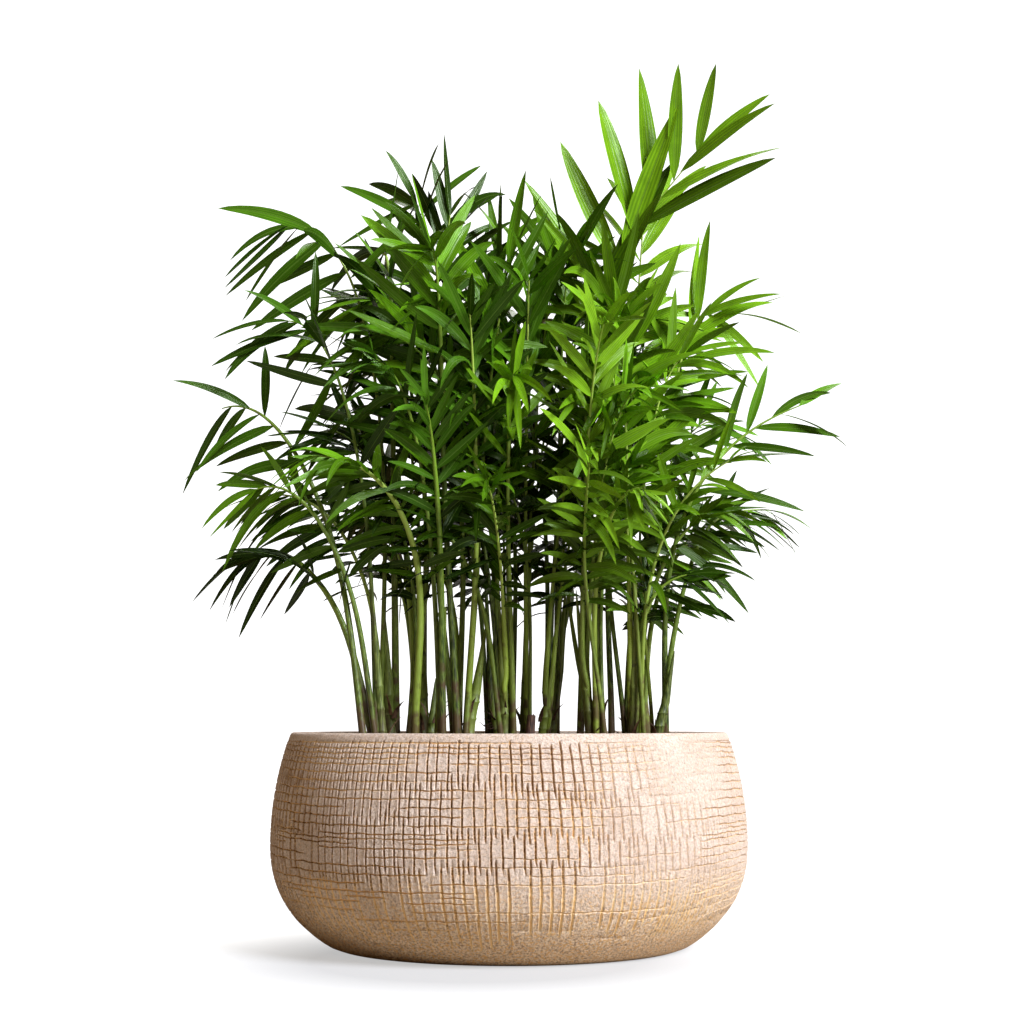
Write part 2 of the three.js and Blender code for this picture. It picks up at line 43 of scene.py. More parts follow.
# BOWL. A wide, round-bellied clay bowl with a smooth rolled lip, thrown on a wheel. While the
# clay is leather-hard its wall is scored by hand with staggered upright strokes and thin level
# ones, and a bronze wash is rubbed into the scores after firing. On the left the wash carries a
# painted glint, brighter gold on the level scores, and painted shade, darker brown on the others.
BOWL_HEIGHT = 194.5
BOWL_BELLY_RADIUS = 220
BOWL_BELLY_HEIGHT = 94.5
BOWL_RIM_RADIUS = 202.5
BOWL_FOOT_RADIUS = 162
BOWL_WALL = 11
BOWL_FLOOR = 14
BOWL_UPPER_CURVE = 2
BOWL_LOWER_CURVE = 2.32
BOWL_LOWER_FULLNESS = 0.84
CAVITY_FLOOR_INSET = 18
LIP_ROUND = 3
SOIL_HEIGHT = 178
SCORED_TOP = 188.6
SCORED_BOTTOM = 13
UPRIGHT_SCORES = 300
UPRIGHT_HALF_WIDTH = 1.35
UPRIGHT_DEPTH = 2.2
BURR = 0.45
LEVEL_HALF_WIDTH = 0.9
LEVEL_DEPTH = 1.5
LEVEL_SCORE_GAPS = [
    4.0, 4.2, 4.4, 4.6, 6.8, 7.2, 7.4, 7.0, 7.3, 7.2, 7.5, 6.9, 3.9, 3.9, 3.9, 7.1, 7.3, 7.0, 7.4, 6.9,
    4.4, 4.4, 7.4, 7.6, 7.6, 7.6, 7.8,
]
# Zones of the hatching. Four values, in radians to the right of the front: where a zone starts, is
# full, begins to fade and ends. Two values: between which radians or heights it comes in.
FLANK = (0.7, 1.05, 1.9, 2.2)
BARE_PATCH = (0.5, 0.75, 0.95, 1.2)
BARE_PATCH_UP = (128, 150)
SIDE_PATCH = (0.85, 1.15, 1.6, 1.9)
UPPER_LEFT = (-1.25, -1.0, -0.5, -0.3)
UPPER_LEFT_UP = (142, 152)
FAINT_SIDE = (0.12, 0.5, 1.6, 2.0)
FAINT_SIDE_UP = (40, 70)
FAR_LEFT = (-0.75, -1.05)
LOW_ZONE = (90, 60)
BAND_OVERLAPS = [0, 4, 4, 4, 1]
MISSING_STROKES = 0.04
WHEEL_SECTORS = 10


def mix(a, b, share):
    return a + (b - a) * share


def smooth_step(low, high, value):
    share = np.clip((value - low) / (high - low), 0, 1)
    return share * share * (3 - 2 * share)


def window(value, start, full, fading, gone):
    return smooth_step(start, full, value) * smooth_step(gone, fading, value)


def bowl_radius(height):
    height = np.asarray(height, dtype=float)
    up = np.clip((height - BOWL_BELLY_HEIGHT) / (BOWL_HEIGHT - BOWL_BELLY_HEIGHT), 0, 1)
    down = np.clip((BOWL_BELLY_HEIGHT - height) / BOWL_BELLY_HEIGHT, 0, 1)
    upper = mix(BOWL_BELLY_RADIUS, BOWL_RIM_RADIUS, up**BOWL_UPPER_CURVE)
    fullness = (1 - down**BOWL_LOWER_CURVE) ** BOWL_LOWER_FULLNESS
    lower = mix(BOWL_FOOT_RADIUS, BOWL_BELLY_RADIUS, fullness)
    return np.where(height >= BOWL_BELLY_HEIGHT, upper, lower)


def cavity_radius(height):
    return float(bowl_radius(height)) - BOWL_WALL


def into_scene(name, data):
    made = bpy.data.objects.new(name, data)
    bpy.context.scene.collection.objects.link(made)
    return made


def drawn_piece(name, points, edges, faces):
    """A new piece from points in millimetres, left as the only one selected."""
    mesh = bpy.data.meshes.new(name)
    mesh.from_pydata((np.asarray(points) * MM).tolist(), edges, faces)
    mesh.update()
    piece = into_scene(name, mesh)
    bpy.ops.object.select_all(action="DESELECT")
    bpy.context.view_layer.objects.active = piece
    piece.select_set(True)
    return piece


def edit_all():
    bpy.ops.object.mode_set(mode="EDIT")
    bpy.ops.mesh.select_all(action="SELECT")


def close_up():
    """Turns every face outward and leaves edit mode."""
    bpy.ops.mesh.select_all(action="SELECT")
    bpy.ops.mesh.normals_make_consistent(inside=False)
    bpy.ops.object.mode_set(mode="OBJECT")


def turn_on_wheel(name, profile, steps):
    """A closed body of revolution from a profile of (radius, height) that starts and ends on the axis."""
    points = [(radius, 0, height) for radius, height in profile]
    body = drawn_piece(name, points, [(i, i + 1) for i in range(len(points) - 1)], [])
    edit_all()
    sector = 2 * math.pi / WHEEL_SECTORS
    axle = {"center": (0, 0, 0), "axis": (0, 0, 1)}
    bpy.ops.mesh.spin(steps=steps // WHEEL_SECTORS, angle=sector, **axle)
    bpy.ops.mesh.select_all(action="SELECT")
    others = WHEEL_SECTORS - 1
    bpy.ops.mesh.spin(steps=others, angle=sector * others, dupli=True, **axle)
    bpy.ops.mesh.select_all(action="SELECT")
    bpy.ops.mesh.remove_doubles(threshold=0.00001)
    close_up()
    return body


def read_points(mesh):
    points = np.empty(len(mesh.vertices) * 3)
    mesh.vertices.foreach_get("co", points)
    return points.reshape(-1, 3) / MM


def write_points(mesh, points):
    mesh.vertices.foreach_set("co", (points * MM).ravel())
    mesh.update()


def write_value(mesh, name, values):
    attribute = mesh.attributes.new(name, "FLOAT", "POINT")
    attribute.data.foreach_set("value", values.astype(np.float32).ravel())


def smooth_under(degrees):
    bpy.ops.object.shade_smooth_by_angle(angle=math.radians(degrees))


def ripple(seed, waves, theta, height=0.0, tilt=0.0):
    """A smooth wander between about -1 and 1 round the bowl, which may change with the height."""
    spread = np.random.default_rng(seed)
    total = 0
    for turns in waves:
        phase = spread.uniform(0, 2 * math.pi)
        slope = spread.uniform(-tilt, tilt)
        total = total + np.cos(turns * theta + phase + slope * height)
    return total / math.sqrt(len(waves)) * 0.8


level_scores = []
level = SCORED_TOP - 1.8
for gap in LEVEL_SCORE_GAPS:
    level_scores.append(level)
    level -= gap
level_scores.append(level)
level_scores = level_scores[::-1]

bowl_rows = [(0, 0), (90, 0), (150, 0), (160.5, 0), (BOWL_FOOT_RADIUS, 0.5)]
bowl_rows += [(float(bowl_radius(h)), h) for h in (2.5, 6, 11)]
first_scored_row = len(bowl_rows)
scored_rows = []
for score in level_scores:
    for side in (-1, 0, 1):
        height = score + side * LEVEL_HALF_WIDTH
        scored_rows.append((score, side))
        bowl_rows.append((float(bowl_radius(height)), height))
mouth = BOWL_HEIGHT - LIP_ROUND
bowl_rows += [(float(bowl_radius(h)), h) for h in (189.4, mouth)]
lip_arcs = [math.radians(angle) for angle in (25, 50, 75, 90)]
inner_lip = cavity_radius(mouth)
bowl_rows += [
    (BOWL_RIM_RADIUS + 0.6 - LIP_ROUND + LIP_ROUND * math.cos(a), mouth + LIP_ROUND * math.sin(a))
    for a in lip_arcs
]
bowl_rows += [
    (inner_lip + LIP_ROUND - LIP_ROUND * math.cos(a), mouth + LIP_ROUND * math.sin(a))
    for a in reversed(lip_arcs)
]
bowl_rows += [(inner_lip, mouth), (cavity_radius(184), 184), (cavity_radius(SOIL_HEIGHT), SOIL_HEIGHT)]
bowl_rows += [(cavity_radius(h), h) for h in (BOWL_BELLY_HEIGHT, 64, 34)]
bowl_rows += [(cavity_radius(BOWL_FLOOR) - CAVITY_FLOOR_INSET, BOWL_FLOOR), (0, BOWL_FLOOR)]

stroke_columns = UPRIGHT_SCORES * 3
bowl = turn_on_wheel("bowl", bowl_rows, stroke_columns)
bowl_points = read_points(bowl.data)
row_table = np.array(bowl_rows, dtype=float)
ring = np.hypot(bowl_points[:, 0], bowl_points[:, 1])
row_of = np.array([
    int(np.argmin((row_table[:, 0] - r) ** 2 + (row_table[:, 1] - z) ** 2))
    for r, z in zip(ring, bowl_points[:, 2])
])
theta = np.arctan2(bowl_points[:, 0], -bowl_points[:, 1])
column = np.round(theta / (2 * math.pi) * stroke_columns).astype(int) % stroke_columns
stroke = column // 3
stroke_side = column % 3 - 1
in_zone = (row_of >= first_scored_row) & (row_of < first_scored_row + len(scored_rows))
row_in_zone = np.where(in_zone, row_of - first_scored_row, 0)
line_height, line_side = np.array(scored_rows, dtype=float)[row_in_zone].T
line_number = row_in_zone // 3
height = line_height + line_side * LEVEL_HALF_WIDTH

# Where each upright stroke stands, how it leans and wavers, and how each level one rides.
stroke_theta = (stroke * 3 + 1) / stroke_columns * 2 * math.pi
stroke_theta = np.where(stroke_theta > math.pi, stroke_theta - 2 * math.pi, stroke_theta)
chance = np.random.default_rng(31)
stroke_shift = chance.uniform(-0.7, 0.7, UPRIGHT_SCORES)
stroke_phase = chance.uniform(0, 2 * math.pi, UPRIGHT_SCORES)[stroke]
lean = 5.5 * ripple(5, (1, 2, 3), stroke_theta, height, 0.012) - 0.045 * (height - 95)
waver = 0.28 * np.sin(height / 9 + stroke_phase) + 0.16 * np.sin(height / 3.1 + 3 * stroke_phase)
flank = window(np.abs(stroke_theta), *FLANK)
low_zone = smooth_step(*LOW_ZONE, height)
widening = 1 + 0.5 * flank * (stroke_theta < 0) + 0.35 * low_zone
arc = stroke_side * UPRIGHT_HALF_WIDTH * widening + stroke_shift[stroke] * (1 - 0.6 * flank) + lean + waver
new_theta = stroke_theta + arc / BOWL_BELLY_RADIUS
ride = 2.2 * ripple(7, (1, 2, 3, 5), new_theta, height, 0.01)
ride += 7 * smooth_step(0.5, 1.5, new_theta) * smooth_step(110, 50, height)
line_phase = chance.uniform(0, 2 * math.pi, len(level_scores))[line_number]
ride += 0.4 * np.sin(new_theta * 31 + line_phase) + 0.25 * np.sin(new_theta * 77 + 2 * line_phase)
edge_fade = window(height, SCORED_BOTTOM, SCORED_BOTTOM + 14, SCORED_TOP - 6, SCORED_TOP)
new_height = height + ride * edge_fade

# Four bands of upright strokes, every other stroke in each, their ends overlapping.
band_edges = [
    SCORED_TOP - 1 + 0 * new_theta,
    148 - 7 * np.sin(new_theta) + 7 * ripple(11, (2, 3, 5, 9), new_theta),
    112 + 7 * ripple(12, (2, 3, 4, 8), new_theta),
    80 + 7 * ripple(13, (1, 3, 4, 9), new_theta),
    25 + 8 * ripple(14, (1, 2, 5, 11), new_theta),
]
end_jitter = chance.uniform(-4.5, 4.5, (5, UPRIGHT_SCORES))
missing = chance.uniform(0, 1, (4, UPRIGHT_SCORES)) < MISSING_STROKES
upright = np.zeros(len(bowl_points))
for band in range(4):
    top = band_edges[band] + end_jitter[band][stroke] * (1 if band else 0.6) + BAND_OVERLAPS[band]
    bottom = band_edges[band + 1] + end_jitter[band + 1][stroke] - BAND_OVERLAPS[band + 1]
    strength = window(new_height, bottom - 1, bottom + 4, top - 2, top + 1)
    strength *= np.where(stroke % 2 == band % 2, 1.0, 0.0)
    strength *= np.where(missing[band][stroke], 0.25, 1.0)
    upright = np.maximum(upright, strength)
close_set = smooth_step(0.4, 0.65, ripple(17, (2, 3, 5), new_theta, new_height, 0.03))
upright = np.maximum(upright, 0.7 * close_set * edge_fade * (1 - flank))
bare_patch = window(new_theta, *BARE_PATCH) * smooth_step(*BARE_PATCH_UP, new_height)
side_patch = window(new_theta, *SIDE_PATCH)
upright *= (1 - 0.75 * bare_patch) * (1 - 0.5 * side_patch)

# Level strokes come in runs; they lie closer and longer at the upper left and on the right.
run = np.zeros(len(bowl_points))
for number in range(len(level_scores)):
    on_line = line_number == number
    wander = ripple(100 + number, (5, 8, 11, 14), new_theta[on_line])
    run[on_line] = smooth_step(-0.42, -0.2, wander)
upper_left = window(new_theta, *UPPER_LEFT) * smooth_step(*UPPER_LEFT_UP, new_height)
gaps_below = np.diff([level_scores[0] - 8] + level_scores)
gaps_above = np.diff(level_scores + [level_scores[-1] + 8])
close_line = (np.minimum(gaps_below, gaps_above) < 4.5) & (np.array(level_scores) < 160)
close_run = smooth_step(-0.4, 0.1, ripple(19, (2, 3, 4), new_theta))
run *= np.where(close_line[line_number], close_run, 1.0)
level_strength = np.maximum(run * mix(0.65, 1.0, close_run), np.maximum(upper_left, 0.9 * side_patch))
level_strength *= 1 - 0.6 * bare_patch
ragged_foot = new_height + 9 * ripple(29, (3, 7, 11), new_theta)
level_strength *= smooth_step(SCORED_BOTTOM + 8, SCORED_BOTTOM + 34, ragged_foot)

cell = np.sin(new_height * 0.9 + 5 * new_theta) * np.sin(new_theta * 180 + new_height * 0.35)
faint = 1 - 0.55 * window(new_theta, *FAINT_SIDE) * smooth_step(*FAINT_SIDE_UP, new_height)
upright_cut = np.where(stroke_side == 0, upright * faint * (0.9 + 0.2 * cell), 0)
level_cut = np.where(line_side == 0, level_strength * mix(1, faint, 0.5) * (0.9 + 0.2 * cell), 0)
shallow = 1 - 0.55 * upper_left
far_left = smooth_step(*FAR_LEFT, new_theta)
shallow_low = 1 - 0.5 * smooth_step(*LOW_ZONE, new_height) + 0.5 * far_left
burr_upright = np.where(stroke_side != 0, upright, 0)
burr_level = np.where(line_side != 0, level_strength, 0)
burr = BURR * np.maximum(burr_upright * (line_side != 0), burr_level * (stroke_side != 0))
depth = np.maximum(UPRIGHT_DEPTH * upright_cut * shallow_low, LEVEL_DEPTH * level_cut * shallow)
depth -= np.where(in_zone, burr * (depth == 0) * edge_fade, 0)
slope = bowl_radius(new_height + 0.5) - bowl_radius(new_height - 0.5)
normal_length = np.sqrt(1 + slope * slope)
scored_ring = bowl_radius(new_height) - depth / normal_length
scored_up = new_height + depth * slope / normal_length
unscored = ~in_zone & (ring > 1)
plain_theta = np.where(unscored, stroke_theta + stroke_side * UPRIGHT_HALF_WIDTH / BOWL_BELLY_RADIUS, theta)
final_theta = np.where(in_zone, new_theta, plain_theta)
final_ring = np.where(in_zone, scored_ring, ring)
final_up = np.where(in_zone, scored_up, bowl_points[:, 2])
write_points(bowl.data, np.stack([
    final_ring * np.sin(final_theta),
    -final_ring * np.cos(final_theta),
    final_up,
], axis=1))
broad = 0.32 * flank * (new_theta < 0) * upright * (stroke_side != 0) * smooth_step(60, 90, new_height)
cut = np.where(in_zone, np.maximum(np.maximum(upright_cut, level_cut * 0.85), broad), 0)
gilt_and_painted_light = 0.12 + 0.32 * ripple(23, (3, 5, 9, 14), new_theta, new_height, 0.08)
left_glint_and_shade = smooth_step(0.1, -0.3, new_theta) * smooth_step(55, 85, new_height) * (1 - 0.7 * far_left)
# Painted light: level scores on the left and upper left get brighter gold as a painted glint; the other
# scores on the left get darker brown as painted shade.
gilt_and_painted_light += np.where(line_side == 0, 0.25 + 0.35 * left_glint_and_shade + 0.6 * upper_left, -0.3 * left_glint_and_shade)
gilt_and_painted_light += 0.65 * smooth_step(85, 55, new_height)
write_value(bowl.data, "score", cut)
write_value(bowl.data, "gilt_and_painted_light", np.where(in_zone, np.clip(gilt_and_painted_light, 0, 1), 0))
smooth_under(32)


def new_material(name):
    material = bpy.data.materials.new(name)
    material.use_nodes = True
    return material, material.node_tree, material.node_tree.nodes["Principled BSDF"]


def add_node(tree, kind, inputs=None, **settings):
    made = tree.nodes.new("ShaderNode" + kind)
    for key, value in settings.items():
        setattr(made, key, value)
    for key, value in (inputs or {}).items():
        if isinstance(value, bpy.types.NodeSocket):
            tree.links.new(value, made.inputs[key])
        else:
            made.inputs[key].default_value = value
    return made


def blend(factor, first, second, kind="MIX"):
    """Two colours mixed; the sockets among what is given tell which node tree it goes into."""
    given = (factor, first, second)
    tree = next(value.id_data for value in given if isinstance(value, bpy.types.NodeSocket))
    made = add_node(tree, "Mix", data_type="RGBA", blend_type=kind)
    sockets = [made.inputs["Factor"]] + [s for s in made.inputs if s.type == "RGBA"]
    for socket, value in zip(sockets, given):
        if isinstance(value, bpy.types.NodeSocket):
            tree.links.new(value, socket)
        else:
            socket.default_value = (*value, 1) if socket.type == "RGBA" else value
    return next(s for s in made.outputs if s.type == "RGBA")


def ramp(value, from_low, from_high, to_low=0.0, to_high=1.0):
    return add_node(value.id_data, "MapRange", {
        "Value": value, "From Min": from_low, "From Max": from_high, "To Min": to_low, "To Max": to_high,
    }).outputs["Result"]


def do_maths(operation, first, second=0.0):
    return add_node(first.id_data, "Math", {0: first, 1: second}, operation=operation).outputs[0]


def times(first, second):
    return do_maths("MULTIPLY", first, second)


def plus(first, second):
    return do_maths("ADD", first, second)


def object_place(tree):
    return add_node(tree, "TexCoord").outputs["Object"]


def axis_of(vector, axis):
    return add_node(vector.id_data, "SeparateXYZ", {0: vector}).outputs[axis]


def point_value(tree, name, output="Fac"):
    return add_node(tree, "Attribute", attribute_name=name).outputs[output]


def add_noise(place, scale, detail=2.0, roughness=0.5):
    inputs = {"Vector": place, "Scale": scale, "Detail": detail, "Roughness": roughness}
    return add_node(place.id_data, "TexNoise", inputs).outputs["Fac"]


def finish_skin(shader, colour, roughness, relief, strength, distance):
    """Puts a colour, a roughness and a relief on a material's shader."""
    tree = shader.id_data
    bump = add_node(tree, "Bump", {"Height": relief, "Strength": strength, "Distance": distance})
    tree.links.new(colour, shader.inputs["Base Color"])
    tree.links.new(roughness, shader.inputs["Roughness"])
    tree.links.new(bump.outputs["Normal"], shader.inputs["Normal"])


clay, tree, shader = new_material("scored_clay")
place = object_place(tree)
grain = add_noise(place, 480.0, 4.0, 0.8)
patches = add_noise(place, 22.0, 4.0)
specks = add_noise(place, 420.0)
score = point_value(tree, "score")
gilding_and_painted_light = point_value(tree, "gilt_and_painted_light")
low_down = ramp(axis_of(place, "Z"), 0.085, 0.02)
body = blend(ramp(patches, 0.3, 0.7), (0.76, 0.595, 0.475), (0.86, 0.71, 0.595))
body = blend(ramp(grain, 0.33, 0.56), (0.48, 0.355, 0.26), body)
foot_sand = blend(ramp(grain, 0.41, 0.56), (0.36, 0.21, 0.12), (1.0, 0.77, 0.51))
body = blend(times(low_down, 0.85), body, foot_sand)
more_low_down = ramp(low_down, 0.0, 1.0, 0.2, 1.0)
gold_specks = times(ramp(specks, 0.53, 0.6), more_low_down)
body = blend(gold_specks, body, (0.78, 0.47, 0.19))
# The gold-wash attribute carries painted light: brighter gold at the left and upper left is a painted glint,
# darker brown on the left's upright scores is painted shade.
worn_gilding_and_painted_light = plus(gilding_and_painted_light, ramp(specks, 0.35, 0.65, -0.35, 0.35))
gilding_and_painted_light = ramp(worn_gilding_and_painted_light, 0.05, 0.62)
wash_colour = blend(gilding_and_painted_light, (0.50, 0.30, 0.16), (1.0, 0.73, 0.39))
deepest = blend(gilding_and_painted_light, (0.25, 0.13, 0.05), (1.0, 0.665, 0.30))
wash_colour = blend(ramp(score, 0.4, 0.85), wash_colour, deepest)
wash = ramp(plus(score, ramp(grain, 0.3, 0.7, -0.15, 0.15)), 0.14, 0.5)
shine = do_maths("MAXIMUM", times(wash, gilding_and_painted_light), times(gold_specks, 0.6))
tree.links.new(times(shine, 0.3), shader.inputs["Metallic"])
shader.inputs["Specular IOR Level"].default_value = 0.3
colour = blend(wash, body, wash_colour)
relief = plus(times(grain, 0.7), times(specks, 0.5))
finish_skin(shader, colour, ramp(shine, 0.0, 1.0, 0.86, 0.3), relief, 1.0, 0.002)
bowl.data.materials.append(clay)
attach(bowl, "root")
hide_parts("pot")


# SOIL. Dark, loose potting compost of peat and bark, filled to just below the lip and left
# crumbly; coarse crumbs and bark chips lie on top.
SEAT_GAP = 0.3
SOIL_HEAP = 3.5
CRUMBS = 620

soil_bottom = BOWL_FLOOR + SEAT_GAP
soil_rows = [(0, soil_bottom), (cavity_radius(BOWL_FLOOR) - CAVITY_FLOOR_INSET - SEAT_GAP, soil_bottom)]
soil_rows += [(cavity_radius(h) - SEAT_GAP, h) for h in (34, 64, BOWL_BELLY_HEIGHT, SOIL_HEIGHT)]
soil_edge = soil_rows[-1][0]
soil_rows += [(soil_edge * share / 56, SOIL_HEIGHT) for share in range(55, 0, -1)] + [(0, SOIL_HEIGHT)]
soil = turn_on_wheel("soil", soil_rows, 200)


def soil_rise(x, y):
    """The lie of the compost: slow swells about 26 mm across, with 6 mm clods on them."""
    fine = Vector((x / 6, y / 6, 4))
    rise = 1.6 * noise.noise(Vector((x / 26, y / 26, 0))) + 1.7 * abs(noise.noise(fine))
    return max(-2.5, min(SOIL_HEAP, rise + 1.2 * noise.noise(fine * 2.3)))


soil_points = read_points(soil.data)
for point in soil_points:
    if point[2] > SOIL_HEIGHT - 1:
        inward = min(1, (soil_edge - math.hypot(point[0], point[1])) / 8)
        point[2] += soil_rise(point[0], point[1]) * inward
write_points(soil.data, soil_points)
smooth_under(40)


def taken_apart(pattern):
    """Points and faces of a pattern, which is then thrown away."""
    points = np.array([v.co[:] for v in pattern.data.vertices])
    faces = [tuple(p.vertices) for p in pattern.data.polygons]
    bpy.data.objects.remove(pattern)
    return points, faces


def turned(x, y, angle):
    return x * math.cos(angle) - y * math.sin(angle), x * math.sin(angle) + y * math.cos(angle)


def compass(heading):
    return np.array([math.cos(heading), math.sin(heading), 0])


def joined_piece(name, parts):
    """One piece of many small meshes, each given by its points, its faces and its points' values."""
    faces, start = [], 0
    for part_points, part_faces, _ in parts:
        faces += [tuple(v + start for v in face) for face in part_faces]
        start += len(part_points)
    piece = drawn_piece(name, np.concatenate([points for points, _, _ in parts]), [], faces)
    for value in parts[0][2]:
        write_value(piece.data, value, np.concatenate([np.full(len(p), v[value]) for p, _, v in parts]))
    return piece


bpy.ops.object.select_all(action="DESELECT")
bpy.ops.mesh.primitive_ico_sphere_add(subdivisions=1, radius=1)
crumb_points, crumb_faces = taken_apart(bpy.context.object)
scatter = np.random.default_rng(77)
crumb_parts = []
for number in range(CRUMBS):
    size = scatter.uniform(0.9, 2.6)
    stretch = np.array([scatter.uniform(0.8, 2.4), scatter.uniform(0.7, 1.2), scatter.uniform(0.4, 0.8)])
    turn = scatter.uniform(0, 2 * math.pi)
    distance = (soil_edge - 5) * math.sqrt(scatter.uniform(0, 1))
    spot = distance * compass(scatter.uniform(0, 2 * math.pi))
    chip = crumb_points * scatter.uniform(0.75, 1.25, crumb_points.shape) * (size * stretch)
    chip[:, 0], chip[:, 1] = turned(chip[:, 0], chip[:, 1], turn)
    spot[2] = SOIL_HEIGHT + soil_rise(spot[0], spot[1]) + 0.2
    crumb_parts.append((chip + spot, crumb_faces, {}))
crumbs = joined_piece("bark_crumbs", crumb_parts)

compost, tree, shader = new_material("potting_compost")
place = object_place(tree)
clods = add_noise(place, 160.0, 6.0, 0.7)
damp = add_noise(place, 14.0)
flecks = add_node(tree, "TexVoronoi", {"Vector": place, "Scale": 380.0}).outputs["Color"]
fleck = ramp(axis_of(flecks, "X"), 0.9, 0.94, 0.0, 0.8)
earth = blend(ramp(clods, 0.35, 0.68), (0.012, 0.007, 0.004), (0.075, 0.042, 0.022))
earth = blend(ramp(damp, 0.35, 0.65, 0.0, 0.5), earth, (0.028, 0.016, 0.009))
earth = blend(fleck, earth, (0.20, 0.115, 0.055))
finish_skin(shader, earth, ramp(damp, 0.3, 0.7, 0.95, 0.78), clods, 0.9, 0.0012)
soil.data.materials.append(compost)
crumbs.data.materials.append(compost)
for piece in (soil, crumbs):
    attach(piece, "root")
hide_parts("potting_soil")


# CANES. Nineteen thin, upright green canes in three tufts, ringed by the scars of shed leaves,
# each with a flared foot in the soil, and closed at its head by a long, pointed green sheath.
CANE_FOOT_RADIUS = 6.6
CANE_RADIUS = 5.4
CANE_HEAD_RADIUS = 6.1
CANE_LEAN = 9
CANE_TOP_LOWEST = 208
CANE_TOP_RISE = 52
GOLDEN_TURN = 137.5
TUFTS = [("left", -85, -6, 48, 6, 34), ("middle", 8, 28, 38, 6, 60), ("right", 103, -6, 40, 7, 20)]


def make_random(seed):
    state = [seed]

    def draw():
        state[0] = (state[0] * 16807) % 2147483647
        return state[0] / 2147483647

    return draw


def plant_canes():
    random = make_random(4711)
    canes = []
    for tuft, x, y, spread, count, first in TUFTS:
        for i in range(count):
            heading = math.radians(GOLDEN_TURN * i + first)
            share = math.sqrt((i + 0.5) / count)
            out = compass(heading)
            foot = np.array([x, y, SOIL_HEIGHT + SEAT_GAP]) + out * spread * share
            top = foot + out * CANE_LEAN * share
            top[2] = CANE_TOP_LOWEST + CANE_TOP_RISE * random()
            canes.append({"name": f"{tuft}_{i + 1}", "tuft": tuft, "foot": foot, "top": top, "fronds": []})
    return canes


canes = plant_canes()

# One cane is drawn up ring by ring from a disc; the others are copies stretched to their place.
CANE_SIDES = 16
CANE_STEPS = [
    (0.02, 1.03), (0.06, 0.97), (0.12, 0.90), (0.2, 0.86), (0.225, 0.95), (0.235, 0.96), (0.25, 0.86),
    (0.36, 0.84), (0.47, 0.85), (0.495, 0.95), (0.51, 0.96), (0.53, 0.85), (0.66, 0.82), (0.75, 0.82),
    (0.77, 0.91), (0.785, 0.91), (0.8, 0.82), (1.0, 0.76), (1.2, 0.62), (1.45, 0.48), (1.7, 0.34),
    (1.95, 0.2), (2.1, 0.06),
]
bpy.ops.object.select_all(action="DESELECT")
bpy.ops.mesh.primitive_circle_add(vertices=CANE_SIDES, radius=1, fill_type="NGON", location=(0, 0, 0))
pattern = bpy.context.object
edit_all()
before, width = 0.0, 1.0
for share, new_width in CANE_STEPS:
    bpy.ops.mesh.extrude_region_move(TRANSFORM_OT_translate={"value": (0, 0, share - before)})
    bpy.ops.transform.resize(value=(new_width / width, new_width / width, 1))
    before, width = share, new_width
close_up()
pattern_points, pattern_faces = taken_apart(pattern)

cane_parts = []
vary = np.random.default_rng(12)
for cane in canes:
    girth = CANE_FOOT_RADIUS * vary.uniform(0.6, 0.88) * (1.15 if cane["tuft"] == "left" else 1)
    height = cane["top"][2] - cane["foot"][2]
    shift = cane["top"] - cane["foot"]
    share = pattern_points[:, 2]
    swell = 1 + 0.04 * np.sin(share * vary.uniform(9, 14) + vary.uniform(0, 6))
    x, y = turned(pattern_points[:, 0], pattern_points[:, 1], vary.uniform(0, 2 * math.pi))
    bow = 1.6 * np.sin(np.minimum(share, 1) * math.pi) * vary.uniform(-1, 1)
    placed = np.stack([
        cane["foot"][0] + x * girth * swell + shift[0] * share + bow,
        cane["foot"][1] + y * girth * swell + shift[1] * share - bow,
        cane["foot"][2] + share * height - 2.0 * (share < 0.01),
    ], axis=1)
    cane_parts.append((placed, pattern_faces, {"along": share, "tone": vary.uniform(0, 1)}))
cane_piece = joined_piece("canes", cane_parts)
smooth_under(50)

# Fine fibres that run up a stem, and the soft blotches between them.
plant_fibres = bpy.data.node_groups.new("plant_fibres", "ShaderNodeTree")
add_socket = plant_fibres.interface.new_socket
for socket, usual in (("Fibre Scale", 900.0), ("Blotch Scale", 95.0)):
    add_socket(socket, in_out="INPUT", socket_type="NodeSocketFloat").default_value = usual
for socket in ("Fibres", "Blotches"):
    add_socket(socket, in_out="OUTPUT", socket_type="NodeSocketFloat")
given = plant_fibres.nodes.new("NodeGroupInput").outputs
handed_on = plant_fibres.nodes.new("NodeGroupOutput").inputs
place = object_place(plant_fibres)
drawn_out = add_node(plant_fibres, "Mapping", {"Vector": place, "Scale": (1.0, 1.0, 0.08)}).outputs[0]
plant_fibres.links.new(add_noise(drawn_out, given["Fibre Scale"], 3.0), handed_on["Fibres"])
plant_fibres.links.new(add_noise(place, given["Blotch Scale"], 4.0), handed_on["Blotches"])


def add_fibres(tree, fibre_scale, blotch_scale):
    made = add_node(tree, "Group", node_tree=plant_fibres)
    made.inputs["Fibre Scale"].default_value = fibre_scale
    made.inputs["Blotch Scale"].default_value = blotch_scale
    return made.outputs["Fibres"], made.outputs["Blotches"]


